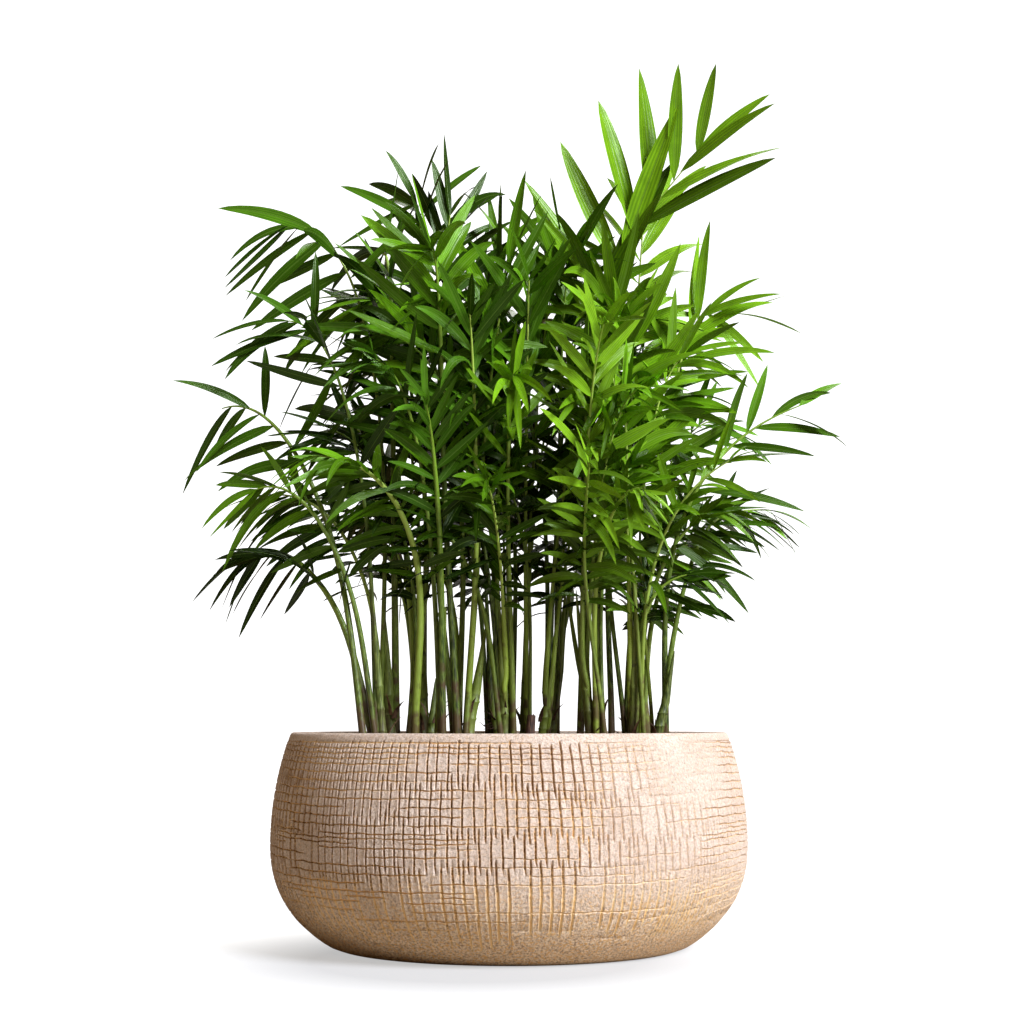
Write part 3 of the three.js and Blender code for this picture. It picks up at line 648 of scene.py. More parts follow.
stem_skin, tree, shader = new_material("green_cane")
fibres, blotches = add_fibres(tree, 900.0, 95.0)
green = blend(point_value(tree, "tone"), (0.018, 0.030, 0.003), (0.21, 0.28, 0.035))
green = blend(ramp(fibres, 0.4, 0.65, 0.0, 0.6), green, (0.30, 0.37, 0.075))
ragged_up = plus(point_value(tree, "along"), ramp(blotches, 0.3, 0.7, -0.3, 0.3))
green = blend(ramp(ragged_up, 0.1, 0.6, 0.8, 0.0), green, (0.085, 0.05, 0.028))
green = blend(ramp(blotches, 0.62, 0.7, 0.0, 0.7), green, (0.045, 0.035, 0.015))
finish_skin(shader, green, ramp(fibres, 0.3, 0.7, 0.42, 0.62), fibres, 0.5, 0.0004)
cane_piece.data.materials.append(stem_skin)
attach(cane_piece, "root")
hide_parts(*[f"cane_{cane['name']}" for cane in canes])


# SHEATH SCRAPS. Dry, curled, pointed remains of old leaf sheaths, red-brown and papery, still
# stuck round the feet of the canes, a ruff of them on one cane, and the stump of a dead cane.
SCRAPS_PER_CANE = 3
RUFF_SCRAPS = 26
STUMP_X, STUMP_Y = 18, -8
STUMP_RADIUS, STUMP_HEIGHT, STUMP_SUNK = 4.9, 34, 2


def grid_faces(rows, across):
    corners = [i * across + k for i in range(rows - 1) for k in range(across - 1)]
    return [(a, a + 1, a + 1 + across, a + across) for a in corners]


def swept(centre, half, across, sideways, out, outward):
    """Rows of points along a centre line, each laid out sideways and outward."""
    row = across[None, :, None] * np.atleast_2d(sideways)[:, None, :]
    row = row + out[None, :, None] * np.atleast_2d(outward)[:, None, :]
    return (centre[:, None, :] + half[:, None, None] * row).reshape(-1, 3)


scrap_s = np.linspace(0, 1, 6)
scrap_across = np.array([-1, 0, 1])
scrap_faces = grid_faces(len(scrap_s), len(scrap_across))
strew = np.random.default_rng(66)
scrap_parts = []


def curled_scrap(root, heading, rise, length, half_width):
    away = compass(heading)
    level = np.array([-away[1], away[0], 0])
    curl = strew.uniform(0.1, 0.7)
    lean = away * math.cos(rise) + np.array([0, 0, math.sin(rise)])
    centre = root + lean * length * scrap_s[:, None] + away * curl * length * scrap_s[:, None] ** 2.5
    half = half_width * (1 - scrap_s**1.4) ** 0.8 + 0.05
    skew = level * strew.uniform(-0.25, 0.25) * length * scrap_s[:, None] ** 2
    return swept(centre + skew, half, scrap_across, level, -0.5 * np.abs(scrap_across), away)


def strew_scraps(cane, count, away, up, rise, length, half_width, palest):
    for number in range(count):
        heading = strew.uniform(0, 2 * math.pi)
        root = cane["foot"] + away * compass(heading)
        root[2] += strew.uniform(*up)
        sizes = [strew.uniform(*limits) for limits in (rise, length, half_width)]
        points = curled_scrap(root, heading, *sizes)
        scrap_parts.append((points, scrap_faces, {"tone": strew.uniform(0, palest)}))


for cane in canes:
    strew_scraps(cane, SCRAPS_PER_CANE, 4.4, (4, 34), (1.2, 1.5), (9, 24), (1.5, 3.2), 1)
ruffed = next(cane for cane in canes if cane["name"] == "middle_2")
strew_scraps(ruffed, RUFF_SCRAPS, 4.0, (20, 32), (-0.7, 0.9), (4, 12), (1.2, 2.6), 0.25)
scraps = joined_piece("sheath_scraps", scrap_parts)
thickness = scraps.modifiers.new("thickness", "SOLIDIFY")
thickness.thickness = 0.4 * MM
thickness.offset = 0
bpy.ops.object.modifier_apply(modifier=thickness.name)
smooth_under(50)

bpy.ops.object.select_all(action="DESELECT")
stump_middle = SOIL_HEIGHT - STUMP_SUNK + STUMP_HEIGHT / 2
bpy.ops.mesh.primitive_cylinder_add(vertices=14, radius=STUMP_RADIUS * MM, depth=STUMP_HEIGHT * MM,
                                    location=(STUMP_X * MM, STUMP_Y * MM, stump_middle * MM))
stump = bpy.context.object
stump.name = "dead_cane_stump"
bpy.ops.object.transform_apply(location=True, rotation=True, scale=True)
edit_all()
bpy.ops.mesh.subdivide(number_cuts=3)
bpy.ops.object.mode_set(mode="OBJECT")
stump_points = read_points(stump.data)
for point in stump_points:
    share = (point[2] - SOIL_HEIGHT + STUMP_SUNK) / STUMP_HEIGHT
    taper = 1.1 - 0.3 * share
    ragged = noise.noise(Vector((point[0] / 2.5, point[1] / 2.5, 0)))
    point[2] += 5 * ragged * max(0, share - 0.5)
    point[0] = STUMP_X + (point[0] - STUMP_X) * taper + 3 * share
    point[1] = STUMP_Y + (point[1] - STUMP_Y) * taper
write_points(stump.data, stump_points)
smooth_under(40)

papery, tree, shader = new_material("dry_sheath")
fibres, blotches = add_fibres(tree, 1100.0, 160.0)
brown = blend(point_value(tree, "tone"), (0.030, 0.012, 0.006), (0.27, 0.15, 0.07))
brown = blend(ramp(fibres, 0.4, 0.65, 0.0, 0.6), brown, (0.21, 0.10, 0.055))
brown = blend(ramp(blotches, 0.5, 0.65, 0.0, 0.6), brown, (0.055, 0.022, 0.014))
finish_skin(shader, brown, ramp(blotches, 0.3, 0.7, 0.6, 0.85), fibres, 0.7, 0.0005)
for piece in (scraps, stump):
    piece.data.materials.append(papery)
    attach(piece, "root")


# FRONDS. Four feather fronds spring from the sheaths on top of each cane: a thin round stalk
# that runs on as the rib between two ranks of leaflets. They wind up through the crown, wide and
# low to narrow and high, and a few named ones give it its outline.
FRONDS_PER_CANE = 4
SHEATH_OFFSET = 3.2
STALK_FOOT_RADIUS = 2.6
STALK_TIP_RADIUS = 0.9
STALK_TAPER = 1.3
STALK_RUNS = 6
PATH_STEP = 2.5
PATH_CLEARANCE = 0.5
SWING_STEP = 5
SWINGS = 9
BOW_STEP = 0.12
BOWS = 5
TUFTS_HALF_WIDTH = 150
TUFTS_HALF_DEPTH = 80
BIG_LEAF = 1.3
OUTLINE_FRONDS = [
    ("right_7", (183, -5, 750), -0.7, 0.65, 90, 0, 1.4),
    ("right_6", (276, -10, 502), -0.2, 0.8, 75, 0.35, 1.1),
    ("right_4", (133, 50, 696), 0.4, 0.7, 80, 0.1, 1),
    ("right_1", (196, 20, 596), 0.5, 1.05, 70, 0.1, 0.95),
    ("right_3", (202, -60, 442), 0.1, 0.8, 60, 0.15, 1),
    ("right_6", (214, 20, 401), 0.25, 1, 40, 0.2, 1),
    ("right_3", (163, -50, 338), 0, 0.9, 30, 0.35, 1),
    ("left_5", (-272, -10, 499), 0.5, 1.1, 70, 0.35, 1.1),
    ("left_2", (-212, 0, 680), -0.1, 1, 40, 0.8, 0.9),
    ("left_5", (-205, -50, 575), 0.25, 1, 60, 0.35, 1),
    ("left_5", (-233, -50, 417), 0.5, 1.15, 60, 0.3, 1.1),
    ("left_5", (-250, 10, 363), 0.55, 1.2, 45, 0.4, 1.15),
    ("left_1", (-57, 10, 692), -0.2, 0.8, 85, 0.05, 0.9),
    ("left_4", (-92, 40, 710), 0.2, 1.05, 80, 0.2, 0.9),
    ("left_2", (-127, 30, 645), -0.2, 1.2, 60, 0.3, 0.9),
    ("left_6", (0, -70, 625), -0.2, 0.6, 80, 0.05, 1),
    ("middle_2", (-8, 20, 672), 0.3, 0.6, 80, 0.1, 0.9),
    ("middle_1", (43, 40, 627), 0.3, 0.8, 80, 0.25, 1),
    ("right_7", (72, -55, 508), 0, 1.1, 85, 0, 1),
    ("right_1", (97, -70, 503), -0.2, 1.3, 70, 0.5, 1),
]
FILL_LOWEST, FILL_HIGHEST = 386, 630
FILL_CENTRE_X = 4
FILL_WIDE_X, FILL_NARROW_X = 256, 127
FILL_WIDE_Y, FILL_NARROW_Y = 196, 105
FILL_LAYERS = (1, 0.55, 0.8)


def new_frond(end, lean, rise, turn, hang, leaf, outline):
    return {"end": np.array(end, dtype=float), "lean": lean, "rise": rise, "turn": turn, "hang": hang,
            "leaf": leaf, "outline": outline, "path": None}


def fill_fronds(count):
    random = make_random(2026)
    fronds = []
    for i in range(count):
        level = (i + 0.5) / count
        winding = math.radians(GOLDEN_TURN * i + 20)
        heading = winding - 0.22 * math.sin(2 * winding)
        layer = FILL_LAYERS[i % 3]
        x = FILL_CENTRE_X + math.cos(heading) * layer * mix(FILL_WIDE_X, FILL_NARROW_X, level)
        y = math.sin(heading) * layer * mix(FILL_WIDE_Y, FILL_NARROW_Y, level)
        z = mix(FILL_LOWEST, FILL_HIGHEST, level) + 40 * (0.5 - layer * random())
        lean = mix(0.1, 0.3, random())
        rise = mix(0.75, 1.1, random())
        turn = 60 * (2 * random() - 1)
        hang = mix(0.08, 0.4, min(1, math.hypot(x, y) / 234))
        fronds.append(new_frond((x, y, z), lean, rise, turn, hang, 1, False))
    return fronds


def deal_fronds():
    by_name = {cane["name"]: cane for cane in canes}
    for name, *shape in OUTLINE_FRONDS:
        by_name[name]["fronds"].append(new_frond(*shape, True))
    fill = fill_fronds(len(canes) * FRONDS_PER_CANE - len(OUTLINE_FRONDS))
    fill.sort(key=lambda f: -math.hypot(f["end"][0] / FILL_WIDE_X, f["end"][1] / FILL_WIDE_Y))
    for frond in fill:
        x, y = frond["end"][0] / FILL_WIDE_X, frond["end"][1] / FILL_WIDE_Y
        free = [cane for cane in canes if len(cane["fronds"]) < FRONDS_PER_CANE]
        nearest = min(free, key=lambda c: (c["foot"][0] / TUFTS_HALF_WIDTH - x) ** 2
                      + (c["foot"][1] / TUFTS_HALF_DEPTH - y) ** 2)
        nearest["fronds"].append(frond)


def split_fronds(cane):
    ends = np.array([frond["end"][:2] for frond in cane["fronds"]])
    away = ends - ends.mean(axis=0)
    axis = away[int(np.argmax(np.hypot(away[:, 0], away[:, 1])))]
    axis = axis / np.hypot(*axis)
    ordered = sorted(cane["fronds"], key=lambda f: -float(f["end"][:2] @ axis))
    pieces = []
    for letter, side, fronds in (("a", SHEATH_OFFSET, ordered[:2]), ("b", -SHEATH_OFFSET, ordered[2:])):
        foot = cane["top"] + (axis[0] * side, axis[1] * side, SEAT_GAP)
        pieces.append({"name": f"fronds_{cane['name']}_{letter}", "cane": cane, "tuft": cane["tuft"],
                       "foot": foot, "fronds": fronds})
    return pieces


def stalk_radius(t):
    return STALK_TIP_RADIUS + (STALK_FOOT_RADIUS - STALK_TIP_RADIUS) * (1 - t) ** STALK_TAPER


def unit(vector):
    return vector / np.linalg.norm(vector)


def units(rows):
    return rows / np.linalg.norm(rows, axis=1)[:, None]


def on_path(path, t):
    t = np.asarray(t, dtype=float)[..., None]
    return (1 - t) ** 2 * path["v0"] + 2 * (1 - t) * t * path["v1"] + t * t * path["v2"]


def path_direction(path, t):
    return unit((path["v1"] - path["v0"]) * (1 - t) + (path["v2"] - path["v1"]) * t)


def frond_path(foot, frond, swing, bow):
    out = frond["end"] - foot
    out[0], out[1] = turned(out[0], out[1], math.radians(swing))
    lean = frond["lean"] + bow
    path = {"v0": foot, "v1": foot + out * (lean, lean, frond["rise"]), "v2": foot + out}
    path["stations"] = on_path(path, np.linspace(0, 1, STALK_RUNS + 1))
    path["length"] = float(np.linalg.norm(out))
    return path


def sample_path(stations):
    points, radii = [], []
    for i in range(1, len(stations)):
        steps = math.ceil(np.linalg.norm(stations[i] - stations[i - 1]) / PATH_STEP)
        for k in range(steps):
            points.append(mix(stations[i - 1], stations[i], k / steps))
            radii.append(stalk_radius((i - 1 + k / steps) / STALK_RUNS))
    points.append(stations[-1])
    radii.append(STALK_TIP_RADIUS)
    return np.array(points), np.array(radii)


def sway(index):
    return math.ceil(index / 2) * (-1 if index % 2 == 0 else 1)


def grow_paths(pieces):
    placed = []
    for cane in canes:
        shares = np.array([0, 0.25, 0.5, 0.75, 0.9])[:, None]
        placed.append((cane["name"], mix(cane["foot"], cane["top"], shares), np.full(5, CANE_HEAD_RADIUS)))
    everyone = [(piece, frond) for piece in pieces for frond in piece["fronds"]]
    ordered = sorted(everyone, key=lambda pair: not pair[1]["outline"])
    for piece, frond in ordered:
        own = (piece["name"], piece["cane"]["name"])
        others = [(p, r) for owner, p, r in placed if owner not in own]
        other_points = np.concatenate([p for p, r in others])
        other_radii = np.concatenate([r for p, r in others])
        for attempt in range(SWINGS * BOWS):
            swing, bow = SWING_STEP * sway(attempt % SWINGS), BOW_STEP * sway(attempt // SWINGS)
            path = frond_path(piece["foot"], frond, swing, bow)
            points, radii = sample_path(path["stations"])
            apart = ((points[:, None, :] - other_points[None, :, :]) ** 2).sum(axis=2)
            near = radii[:, None] + other_radii[None, :] + PATH_CLEARANCE
            if not (apart < near * near + PATH_STEP * PATH_STEP / 2).any():
                frond["path"] = path
                placed.append((piece["name"], points, radii))
                break
    return ordered


deal_fronds()
pieces = [piece for cane in canes for piece in split_fronds(cane)]
growing_order = grow_paths(pieces)

# Stalks: round tubes. Each is clasped to its cane, or comes straight up from its own foot in the
# soil beside it, and runs out in a fine rib.
LOWER_STATIONS = 9
ROOTED_STATIONS = 14
TUBE_STATIONS = 26
TUBE_SIDES = 8
SHEATH_LENGTH = 62
STALK_JOINS_AT = 130
TUFT_EDGES = {"left": (-133, -44), "middle": (-40, 60), "right": (64, 142)}
rooting = np.random.default_rng(58)


def clasping_stalk(cane, frond, path):
    """Up along the cane from low on its side, then out along the frond's path."""
    out = frond["end"][:2] - cane["top"][:2]
    heading = math.atan2(out[1], out[0]) + rooting.uniform(-0.5, 0.5)
    away = compass(heading)
    share = np.linspace(rooting.uniform(0.15, 0.55), 1, LOWER_STATIONS, endpoint=False)
    beside = mix(cane["foot"], cane["top"], share[:, None]) + CANE_RADIUS * 0.7 * away
    t = np.linspace(0, 1, TUBE_STATIONS) ** 1.15
    centre = np.concatenate([beside, on_path(path, t)])
    lower_radius = np.linspace(0.9, 3.1, LOWER_STATIONS)
    upper_radius = 0.55 + 1.4 * (1 - t) ** 0.9
    upper_radius += 1.15 * np.clip(1 - t * path["length"] / SHEATH_LENGTH, 0, 1) ** 0.8
    return centre, np.concatenate([lower_radius, upper_radius]), np.concatenate([np.zeros(LOWER_STATIONS), t])


def rooted_stalk(cane, frond, path):
    """Straight up out of the soil beside the cane, meeting the frond's path on its way."""
    join = min(0.5, STALK_JOINS_AT / path["length"])
    meet = on_path(path, join)
    heading = math.atan2(*(meet - cane["foot"])[1::-1]) + rooting.uniform(-1.2, 1.2)
    away = rooting.uniform(6, 12 + 14 * (cane["tuft"] != "middle"))
    foot = cane["foot"] + away * compass(heading) - (0, 0, 3)
    foot[0] = np.clip(foot[0], *(limit + rooting.uniform(-4, 4) for limit in TUFT_EDGES[cane["tuft"]]))
    span = float(np.linalg.norm(meet - foot))
    leaving = unit(unit(meet - foot) + (0, 0, 0.5)) * span
    arriving = path_direction(path, join) * span
    u = np.linspace(0, 1, ROOTED_STATIONS, endpoint=False)[:, None]
    lower = (2 * u**3 - 3 * u**2 + 1) * foot + (u**3 - 2 * u**2 + u) * leaving
    lower += (3 * u**2 - 2 * u**3) * meet + (u**3 - u**2) * arriving
    t = np.linspace(join, 1, TUBE_STATIONS)
    centre = np.concatenate([lower, on_path(path, t)])
    girth = rooting.uniform(0.6, 1.12) * (1.2 if cane["tuft"] == "left" else 1)
    lower_radius = girth * np.linspace(3.2, 1.95, ROOTED_STATIONS) + 0.5 * np.exp(-u[:, 0] * 12)
    upper_radius = 0.55 + (girth * 1.95 - 0.55) * ((1 - t) / (1 - join)) ** 0.85
    return centre, np.concatenate([lower_radius, upper_radius]), np.concatenate([join * u[:, 0], t])


def stalk_tube(cane, frond):
    path = frond["path"]
    lay_out = rooted_stalk if frond["own_foot"] else clasping_stalk
    centre, radius, height_share = lay_out(cane, frond, path)
    for _ in range(2):
        centre[1:-1] = (centre[:-2] + 2 * centre[1:-1] + centre[2:]) / 4
    along = units(np.gradient(centre, axis=0))
    level = unit(np.cross(path["v2"] - path["v0"], (0, 0, 1)))
    face = units(np.cross(level, along))
    side = np.cross(along, face)
    angles = np.arange(TUBE_SIDES) / TUBE_SIDES * 2 * math.pi
    points = swept(centre, radius, np.cos(angles), side, np.sin(angles), face)
    count = len(centre)
    faces = []
    for i in range(0, (count - 1) * TUBE_SIDES, TUBE_SIDES):
        for k in range(TUBE_SIDES):
            n = (k + 1) % TUBE_SIDES
            faces.append((i + k, i + n, i + TUBE_SIDES + n, i + TUBE_SIDES + k))
    faces.append(tuple(range(TUBE_SIDES))[::-1])
    faces.append(tuple((count - 1) * TUBE_SIDES + k for k in range(TUBE_SIDES)))
    return points, faces, np.repeat(height_share, TUBE_SIDES)


rib_skin, tree, shader = new_material("leaf_stalk")
fibres, blotches = add_fibres(tree, 1300.0, 70.0)
tone = point_value(tree, "tone")
low_green = blend(tone, (0.011, 0.024, 0.002), (0.32, 0.43, 0.045))
high_green = blend(tone, (0.17, 0.32, 0.015), (0.60, 0.80, 0.14))
green = blend(ramp(point_value(tree, "along"), 0.15, 0.6), low_green, high_green)
green = blend(ramp(fibres, 0.4, 0.65, 0.0, 0.35), green, (0.43, 0.58, 0.085))
green = blend(ramp(blotches, 0.64, 0.72, 0.0, 0.35), green, (0.09, 0.07, 0.02))
by_the_soil = ramp(axis_of(object_place(tree), "Z"), 0.185, 0.255, 1.0, 0.0)
dry_foot = plus(by_the_soil, ramp(blotches, 0.3, 0.7, -0.6, 0.5))
green = blend(ramp(dry_foot, 0.3, 0.75, 0.0, 0.85), green, (0.085, 0.040, 0.020))
finish_skin(shader, green, ramp(fibres, 0.3, 0.7, 0.36, 0.52), fibres, 0.4, 0.0003)

# The green of each spray is painted light and shade with random tone on top: lighter in front, to the right
# and higher up, deep on the left, far in and behind.
GREENS_SHADED_TO_LIT = [
    (0.018, 0.052, 0.003), (0.031, 0.090, 0.004), (0.054, 0.152, 0.005), (0.088, 0.230, 0.006),
    (0.135, 0.315, 0.009), (0.185, 0.395, 0.016),
]
BRIGHTEST_GREEN = 0.42
OWN_FOOT_CHANCE = {"left": 1.0, "middle": 0.0, "right": 0.5}
deal = np.random.default_rng(404)
for piece, frond in growing_order:
    x, y, z = frond["end"]
    # Painted light and shade: a painted pool of light in front, a little right of the middle; lighter to the
    # right, in front and higher up; darker far in.
    painted_front_light = 0.44 * math.exp(-(((x - 85) / 80) ** 2)) * (y < 60)
    inside = 1 - min(1, math.hypot((x - FILL_CENTRE_X) / FILL_WIDE_X, y / FILL_WIDE_Y))
    bright = painted_front_light + 0.41 + 0.15 * x / 280 - 0.20 * y / 180 + 0.08 * (z - 470) / 250 - 0.25 * inside
    bright += deal.uniform(-0.28, 0.28)
    if frond["outline"] and frond["leaf"] > BIG_LEAF:
        bright = 0.72
    frond["bright"] = min(0.999, max(0.0, bright))
    frond["spray"] = int(frond["bright"] * len(GREENS_SHADED_TO_LIT))
    frond["own_foot"] = frond is piece["fronds"][0] or deal.uniform(0, 1) < OWN_FOOT_CHANCE[piece["tuft"]]
    # Stalk tone follows the painted light and shade of the spray, with random spread.
    frond["tone"] = min(1.0, max(0.0, deal.normal(0.04 + 0.5 * frond["bright"], 0.36)))

for tuft in ("left", "middle", "right"):
    stalk_parts = []
    for piece, frond in growing_order:
        if piece["tuft"] == tuft and frond["path"]:
            points, faces, t = stalk_tube(piece["cane"], frond)
            stalk_parts.append((points, faces, {"along": t, "tone": frond["tone"]}))
    stalks = joined_piece(f"stalks_{tuft}", stalk_parts)
    stalks.data.materials.append(rib_skin)
    smooth_under(60)
    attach(stalks, "root")


# LEAFLETS. Long, lance-shaped, glossy blades in two ranks along each rib, folded along the middle
# and lightly pleated, each with a drawn-out tip that droops. They grow from the ribs at an angle
# that closes towards the end pair.
PAIRS_AND_LEAFY_LENGTH = {"big": (7, 213), "outline": (9, 255), "low": (19, 310), "fill": (13, 310)}
LEAFLET_SHARE = 0.27
LEAFLET_SHORTEST = 63
LEAFLET_LONGEST = 110
LEAFLET_SHORTENING = 0.2
LEAFLET_LONGEST_AT = 0.4
LEAFLET_WIDTH_SHARE = 0.125
BARE_STALK_SHARE = 0.24
LOW_FROND = 470
LEAFLET_ANGLE_LOW = 52
LEAFLET_ANGLE_HIGH = 14
BIG_FROND_ANGLES = {1: [58, 55, 51, 47, 43, 38, 30], -1: [22, 4, -10, 36, 28, 12, 3]}
BIG_FROND_SHARES = [0, 0.24, 0.4, 0.55, 0.73, 0.89, 1]
BIG_FROND_LENGTHS = (1.02, 0.95)
BIG_FROND_WIDTH_SHARE = 0.138
LEAFLET_LIFT = 8
LEAFLET_DROOP = 0.27
LEAFLET_TILTS = (-34, 28)
LEAFLET_TWIST = 40
LIMP_CHANCE = 0.2
LIMP_DROOP = 2.2
LEAF_STATIONS = 11
LEAF_ACROSS = np.array([-1, -0.52, 0, 0.52, 1])
LEAF_PLEATS = np.array([0, 0.06, 0, 0.06, 0])
CROWN_LOW = np.array([-319, -256, 282])
CROWN_HIGH = np.array([334, 256, 848])


def blade_frame(frond, t):
    path = frond["path"]
    along = path_direction(path, t)
    heading = path["v2"] - path["v0"]
    heading = unit(np.array([heading[0], heading[1], 0]))
    level = np.array([-heading[1], heading[0], 0])
    back = np.cross(along, level)
    turn = math.radians(frond["turn"])
    across = level * math.cos(turn) + back * math.sin(turn)
    return along, across, np.cross(along, across)


def leaf_outline(s):
    return np.maximum(np.sin(math.pi * s**0.8), 0) ** np.where(s < 0.42, 0.7, 0.66)


leaf_s = np.linspace(0, 1, LEAF_STATIONS) ** 0.92
leaf_faces = grid_faces(LEAF_STATIONS, len(LEAF_ACROSS))
grow = np.random.default_rng(909)


def leaflet(frond, share, side, length):
    """Points of one blade, rooted on the rib."""
    path = frond["path"]
    blade_start = 1 - min(1 - BARE_STALK_SHARE, frond["leafy"] / path["length"])
    t = mix(blade_start, 0.995, share)
    along, across, face = blade_frame(frond, t)
    big = frond["leaf"] > BIG_LEAF
    freedom = 0.3 if big else 1
    spread_angle = mix(LEAFLET_ANGLE_LOW, LEAFLET_ANGLE_HIGH, share) + 6 * frond["outline"]
    if big:
        spread_angle = np.interp(share, BIG_FROND_SHARES, BIG_FROND_ANGLES[side])
    angle = math.radians(spread_angle + freedom * grow.normal(1, 9))
    lift = math.tan(math.radians(LEAFLET_LIFT + freedom * grow.uniform(*LEAFLET_TILTS)))
    direction = along * math.cos(angle) + across * side * math.sin(angle) + face * lift
    direction[2] -= frond["hang"] + 0.3 * smooth_step(450, 380, frond["end"][2])
    direction = unit(direction)
    root = on_path(path, t)
    young = 1 - 0.12 * smooth_step(470, 390, frond["end"][2]) * (not frond["outline"])
    length *= (mix(*BIG_FROND_LENGTHS, share) if big else young) * grow.uniform(0.84, 1.06)
    if frond["outline"] and share > 0.98 and not big:
        length *= 1.09
    limp = LIMP_DROOP if not big and grow.uniform(0, 1) < LIMP_CHANCE else 1
    droop = limp * (LEAFLET_DROOP + grow.uniform(-0.14, 0.14)) * length * math.hypot(*direction[:2])
    droop *= 0.45 if big else 1
    sweep = along * length * grow.uniform(-0.08, 0.28) * freedom
    s = leaf_s[:, None]
    centre = root + direction * length * s + sweep * s * s - np.array([0, 0, droop]) * s**2.3
    tip = centre[-1]
    if (tip < CROWN_LOW).any() or (tip > CROWN_HIGH).any():
        return None
    tangent = units(np.gradient(centre, axis=0))
    out = root[:2] / max(120, math.hypot(root[0], root[1]))
    to_light = unit(np.array([0.45 * out[0], 0.6 * out[1] - 0.5, 0.6]))
    wanted = unit(to_light + face * (0.6 if face @ to_light > 0 else -0.6))
    spread = np.cross(tangent, wanted)
    spread /= np.maximum(np.linalg.norm(spread, axis=1), 0.05)[:, None]
    normal = np.cross(spread, tangent)
    twist = np.radians(grow.uniform(-LEAFLET_TWIST, LEAFLET_TWIST)) * leaf_s
    twist = (twist + np.radians(grow.normal(0, 20 * freedom + 4)))[:, None]
    spread, normal = (spread * np.cos(twist) + normal * np.sin(twist),
                      normal * np.cos(twist) - spread * np.sin(twist))
    low_share = LEAFLET_WIDTH_SHARE * (1.1 if frond["end"][2] < LOW_FROND else 1)
    width = length * (BIG_FROND_WIDTH_SHARE if big else low_share) * grow.uniform(0.85, 1.15)
    half = width / 2 * np.maximum(leaf_outline(leaf_s), 0.07 * (leaf_s < 0.9))
    fold = np.abs(LEAF_ACROSS) * grow.uniform(0.16, 0.34)
    return swept(centre, half, LEAF_ACROSS, spread, fold + LEAF_PLEATS, normal)


def leaflet_plan(frond):
    by_length = max(LEAFLET_SHORTEST, frond["path"]["length"] * LEAFLET_SHARE)
    longest = frond["leaf"] * min(LEAFLET_LONGEST, by_length)
    inner = "low" if frond["end"][2] < LOW_FROND else "fill"
    kind = "big" if frond["leaf"] > BIG_LEAF else "outline" if frond["outline"] else inner
    pairs, frond["leafy"] = PAIRS_AND_LEAFY_LENGTH[kind]
    for pair in reversed(range(pairs)):
        share = (pair + 0.2) / (pairs - 0.8)
        length = longest * (1 - LEAFLET_SHORTENING * (2 * (share - LEAFLET_LONGEST_AT)) ** 2)
        yield share, 1, length
        yield min(1, share + 0.35 / pairs * (pair < pairs - 1)), -1, length


blade, tree, shader = new_material("palm_leaf")
leaf_map = add_node(tree, "UVMap", uv_map="blade").outputs[0]
across_leaf = axis_of(leaf_map, "X")
mottle = add_noise(object_place(tree), 60.0, 3.0)
off_middle = do_maths("ABSOLUTE", do_maths("SUBTRACT", across_leaf, 0.5))
veins = ramp(do_maths("SINE", times(across_leaf, 37.0)), -1.0, 1.0)
midrib = ramp(off_middle, 0.045, 0.015)
# Each leaflet's green carries painted light and shade from its place in the crown, with random tone.
spray = point_value(tree, "green_with_painted_light", "Color")
green = blend(ramp(mottle, 0.3, 0.7, 0.0, 0.35), spray, (0.016, 0.045, 0.003))
lighter = blend(1.0, green, (2.2, 1.9, 1.5), "MULTIPLY")
green = blend(times(veins, 0.55), green, lighter)
rib_colour = blend(0.5, green, (0.20, 0.33, 0.06))
green = blend(times(midrib, 0.75), green, rib_colour)
dry_tip = ramp(axis_of(leaf_map, "Y"), 0.97, 1.0, 0.0, 0.6)
green = blend(dry_tip, green, (0.12, 0.10, 0.03))
pleats = plus(times(veins, 0.6), times(midrib, -0.8))
finish_skin(shader, green, ramp(mottle, 0.3, 0.7, 0.21, 0.32), pleats, 0.35, 0.0005)
shader.inputs["Specular IOR Level"].default_value = 0.24
shader.inputs["Specular Tint"].default_value = (0.85, 1.0, 0.6, 1)


def painted_leaflet_shade(x, y, z):
    """Painted shade and light on a leaflet: how much of its spray's green it keeps, less low down and far in,
    more in front.
    """
    low_down = mix(0.32, 1.0, smooth_step(340, 500, z))
    far_in_painted_shade = mix(0.75, 1.0, smooth_step(0.25, 0.8, np.hypot(x / FILL_WIDE_X, y / FILL_WIDE_Y)))
    return low_down * far_in_painted_shade * mix(1.0, 1.3, smooth_step(40, -120, y))


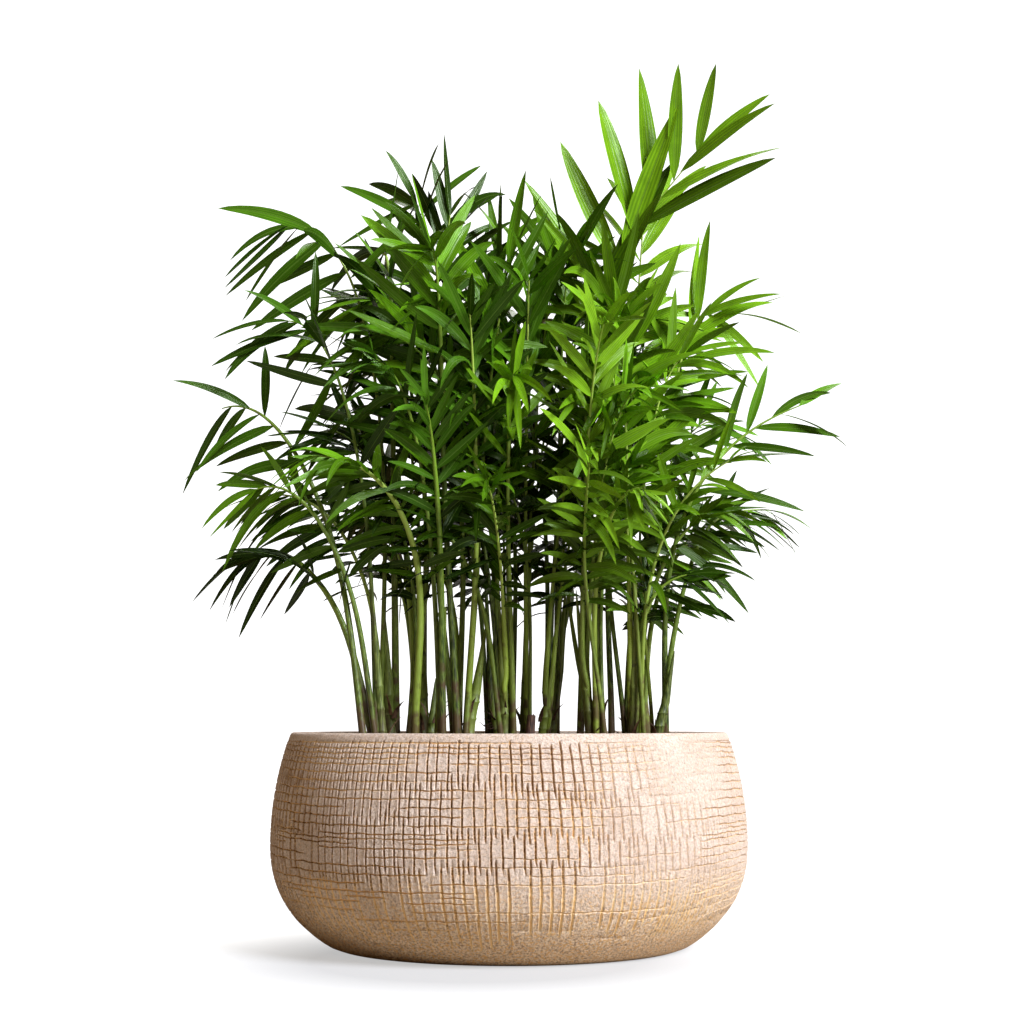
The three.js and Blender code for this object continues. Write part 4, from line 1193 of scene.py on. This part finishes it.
leaf_uv = np.stack(np.meshgrid((LEAF_ACROSS + 1) / 2, leaf_s), axis=-1).reshape(-1, 2)
for tuft in ("left", "middle", "right"):
    leaf_parts, tints = [], []
    for piece, frond in growing_order:
        if piece["tuft"] == tuft and frond["path"]:
            for share, side, length in leaflet_plan(frond):
                points = leaflet(frond, share, side, length)
                if points is not None:
                    leaf_parts.append((points, leaf_faces, {}))
                    # Painted shade low down and far in, painted light in front, and a random tone on each
                    # leaflet.
                    tint = np.array(GREENS_SHADED_TO_LIT[frond["spray"]]) * painted_leaflet_shade(*points[2])
                    tint = tint * math.exp(grow.normal(0.03, 0.42))
                    tints.append((*(tint * min(1, BRIGHTEST_GREEN / tint[1])), 1))
    leaves = joined_piece(f"leaflets_{tuft}", leaf_parts)
    colour = leaves.data.attributes.new("green_with_painted_light", "FLOAT_COLOR", "POINT")
    colour.data.foreach_set("color", np.repeat(tints, len(leaf_uv), axis=0).astype(np.float32).ravel())
    uv = leaves.data.uv_layers.new(name="blade")
    loops = np.empty(len(leaves.data.loops), dtype=np.int32)
    leaves.data.loops.foreach_get("vertex_index", loops)
    uv.data.foreach_set("uv", leaf_uv[loops % len(leaf_uv)].astype(np.float32).ravel())
    leaves.data.materials.append(blade)
    bpy.ops.object.shade_smooth()
    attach(leaves, "root")
    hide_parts(*[piece["name"] for piece in pieces if piece["tuft"] == tuft])


# STAGE. A plain white studio floor that glows for the camera, dimmer round the bowl as a painted shadow,
# under a white surround, a large soft light high on the right and in front, and a weaker one from behind.
bpy.ops.object.select_all(action="DESELECT")
bpy.ops.mesh.primitive_plane_add(size=60, location=(0, 20, 0))
floor = bpy.context.object
floor.name = "studio_floor"
bpy.ops.object.transform_apply(location=True, rotation=False, scale=False)
paper, tree, shader = new_material("white_floor")
place = object_place(tree)
cloud = add_noise(place, 6.0)
from_camera = add_node(tree, "LightPath").outputs["Is Camera Ray"]
bright_paper = blend(cloud, (0.44, 0.39, 0.32), (0.46, 0.41, 0.34))
plain_paper = blend(cloud, (0.24, 0.24, 0.24), (0.25, 0.25, 0.25))
paper_colour = blend(from_camera, bright_paper, plain_paper)
tree.links.new(paper_colour, shader.inputs["Base Color"])
# Painted shadow: the floor's glow for the camera is half strength within 0.14 m of a point by the bowl and
# full beyond 0.28 m.
near_bowl = {0: place, 1: (-0.03, -0.12, 0.0)}
from_bowl = add_node(tree, "VectorMath", near_bowl, operation="DISTANCE").outputs["Value"]
glow_with_painted_shadow = times(from_camera, ramp(from_bowl, 0.14, 0.28, 0.5, 1.0))
tree.links.new(glow_with_painted_shadow, shader.inputs["Emission Strength"])
shader.inputs["Emission Color"].default_value = (1.0, 1.0, 1.0, 1)
shader.inputs["Roughness"].default_value = 0.9
shader.inputs["Specular IOR Level"].default_value = 0.1
floor.data.materials.append(paper)

world = bpy.data.worlds.new("studio")
bpy.context.scene.world = world
world.use_nodes = True
surround = world.node_tree
from_camera = add_node(surround, "LightPath").outputs["Is Camera Ray"]
sky = blend(from_camera, (0.166, 0.106, 0.050), (1.4, 1.4, 1.4))
surround.links.new(sky, surround.nodes["Background"].inputs["Color"])


def soft_sun(name, toward, power, spread, colour):
    light = bpy.data.lights.new(name, "SUN")
    light.energy = power
    light.angle = math.radians(spread)
    light.color = colour
    holder = into_scene(name, light)
    holder.rotation_mode = "QUATERNION"
    holder.rotation_quaternion = Vector(toward).to_track_quat("Z", "Y")


soft_sun("key_light", (0.76, -0.65, 0.74), 5.35, 26, (0.97, 1.03, 1.16))
soft_sun("back_light", (0.3, 0.9, 0.9), 0.9, 40, (1.0, 1.0, 1.0))

# The camera. Its focal length is in pixels of the picture's width, its tilt in degrees upwards.
FOCAL_LENGTH, PICTURE_WIDTH = 1912, 1024
SENSOR_WIDTH = 36
CAMERA_TILT = 6.2
camera = bpy.data.cameras.new("camera")
camera.sensor_width = SENSOR_WIDTH
camera.lens = SENSOR_WIDTH * FOCAL_LENGTH / PICTURE_WIDTH
camera.clip_start, camera.clip_end = 0.05, 100
camera_holder = into_scene("camera", camera)
camera_holder.location = (0.0028, -1.8, 0.206)
camera_holder.rotation_euler = (math.radians(90 + CAMERA_TILT), 0, 0)
bpy.context.scene.camera = camera_holder
bpy.context.scene.view_settings.view_transform = "Standard"
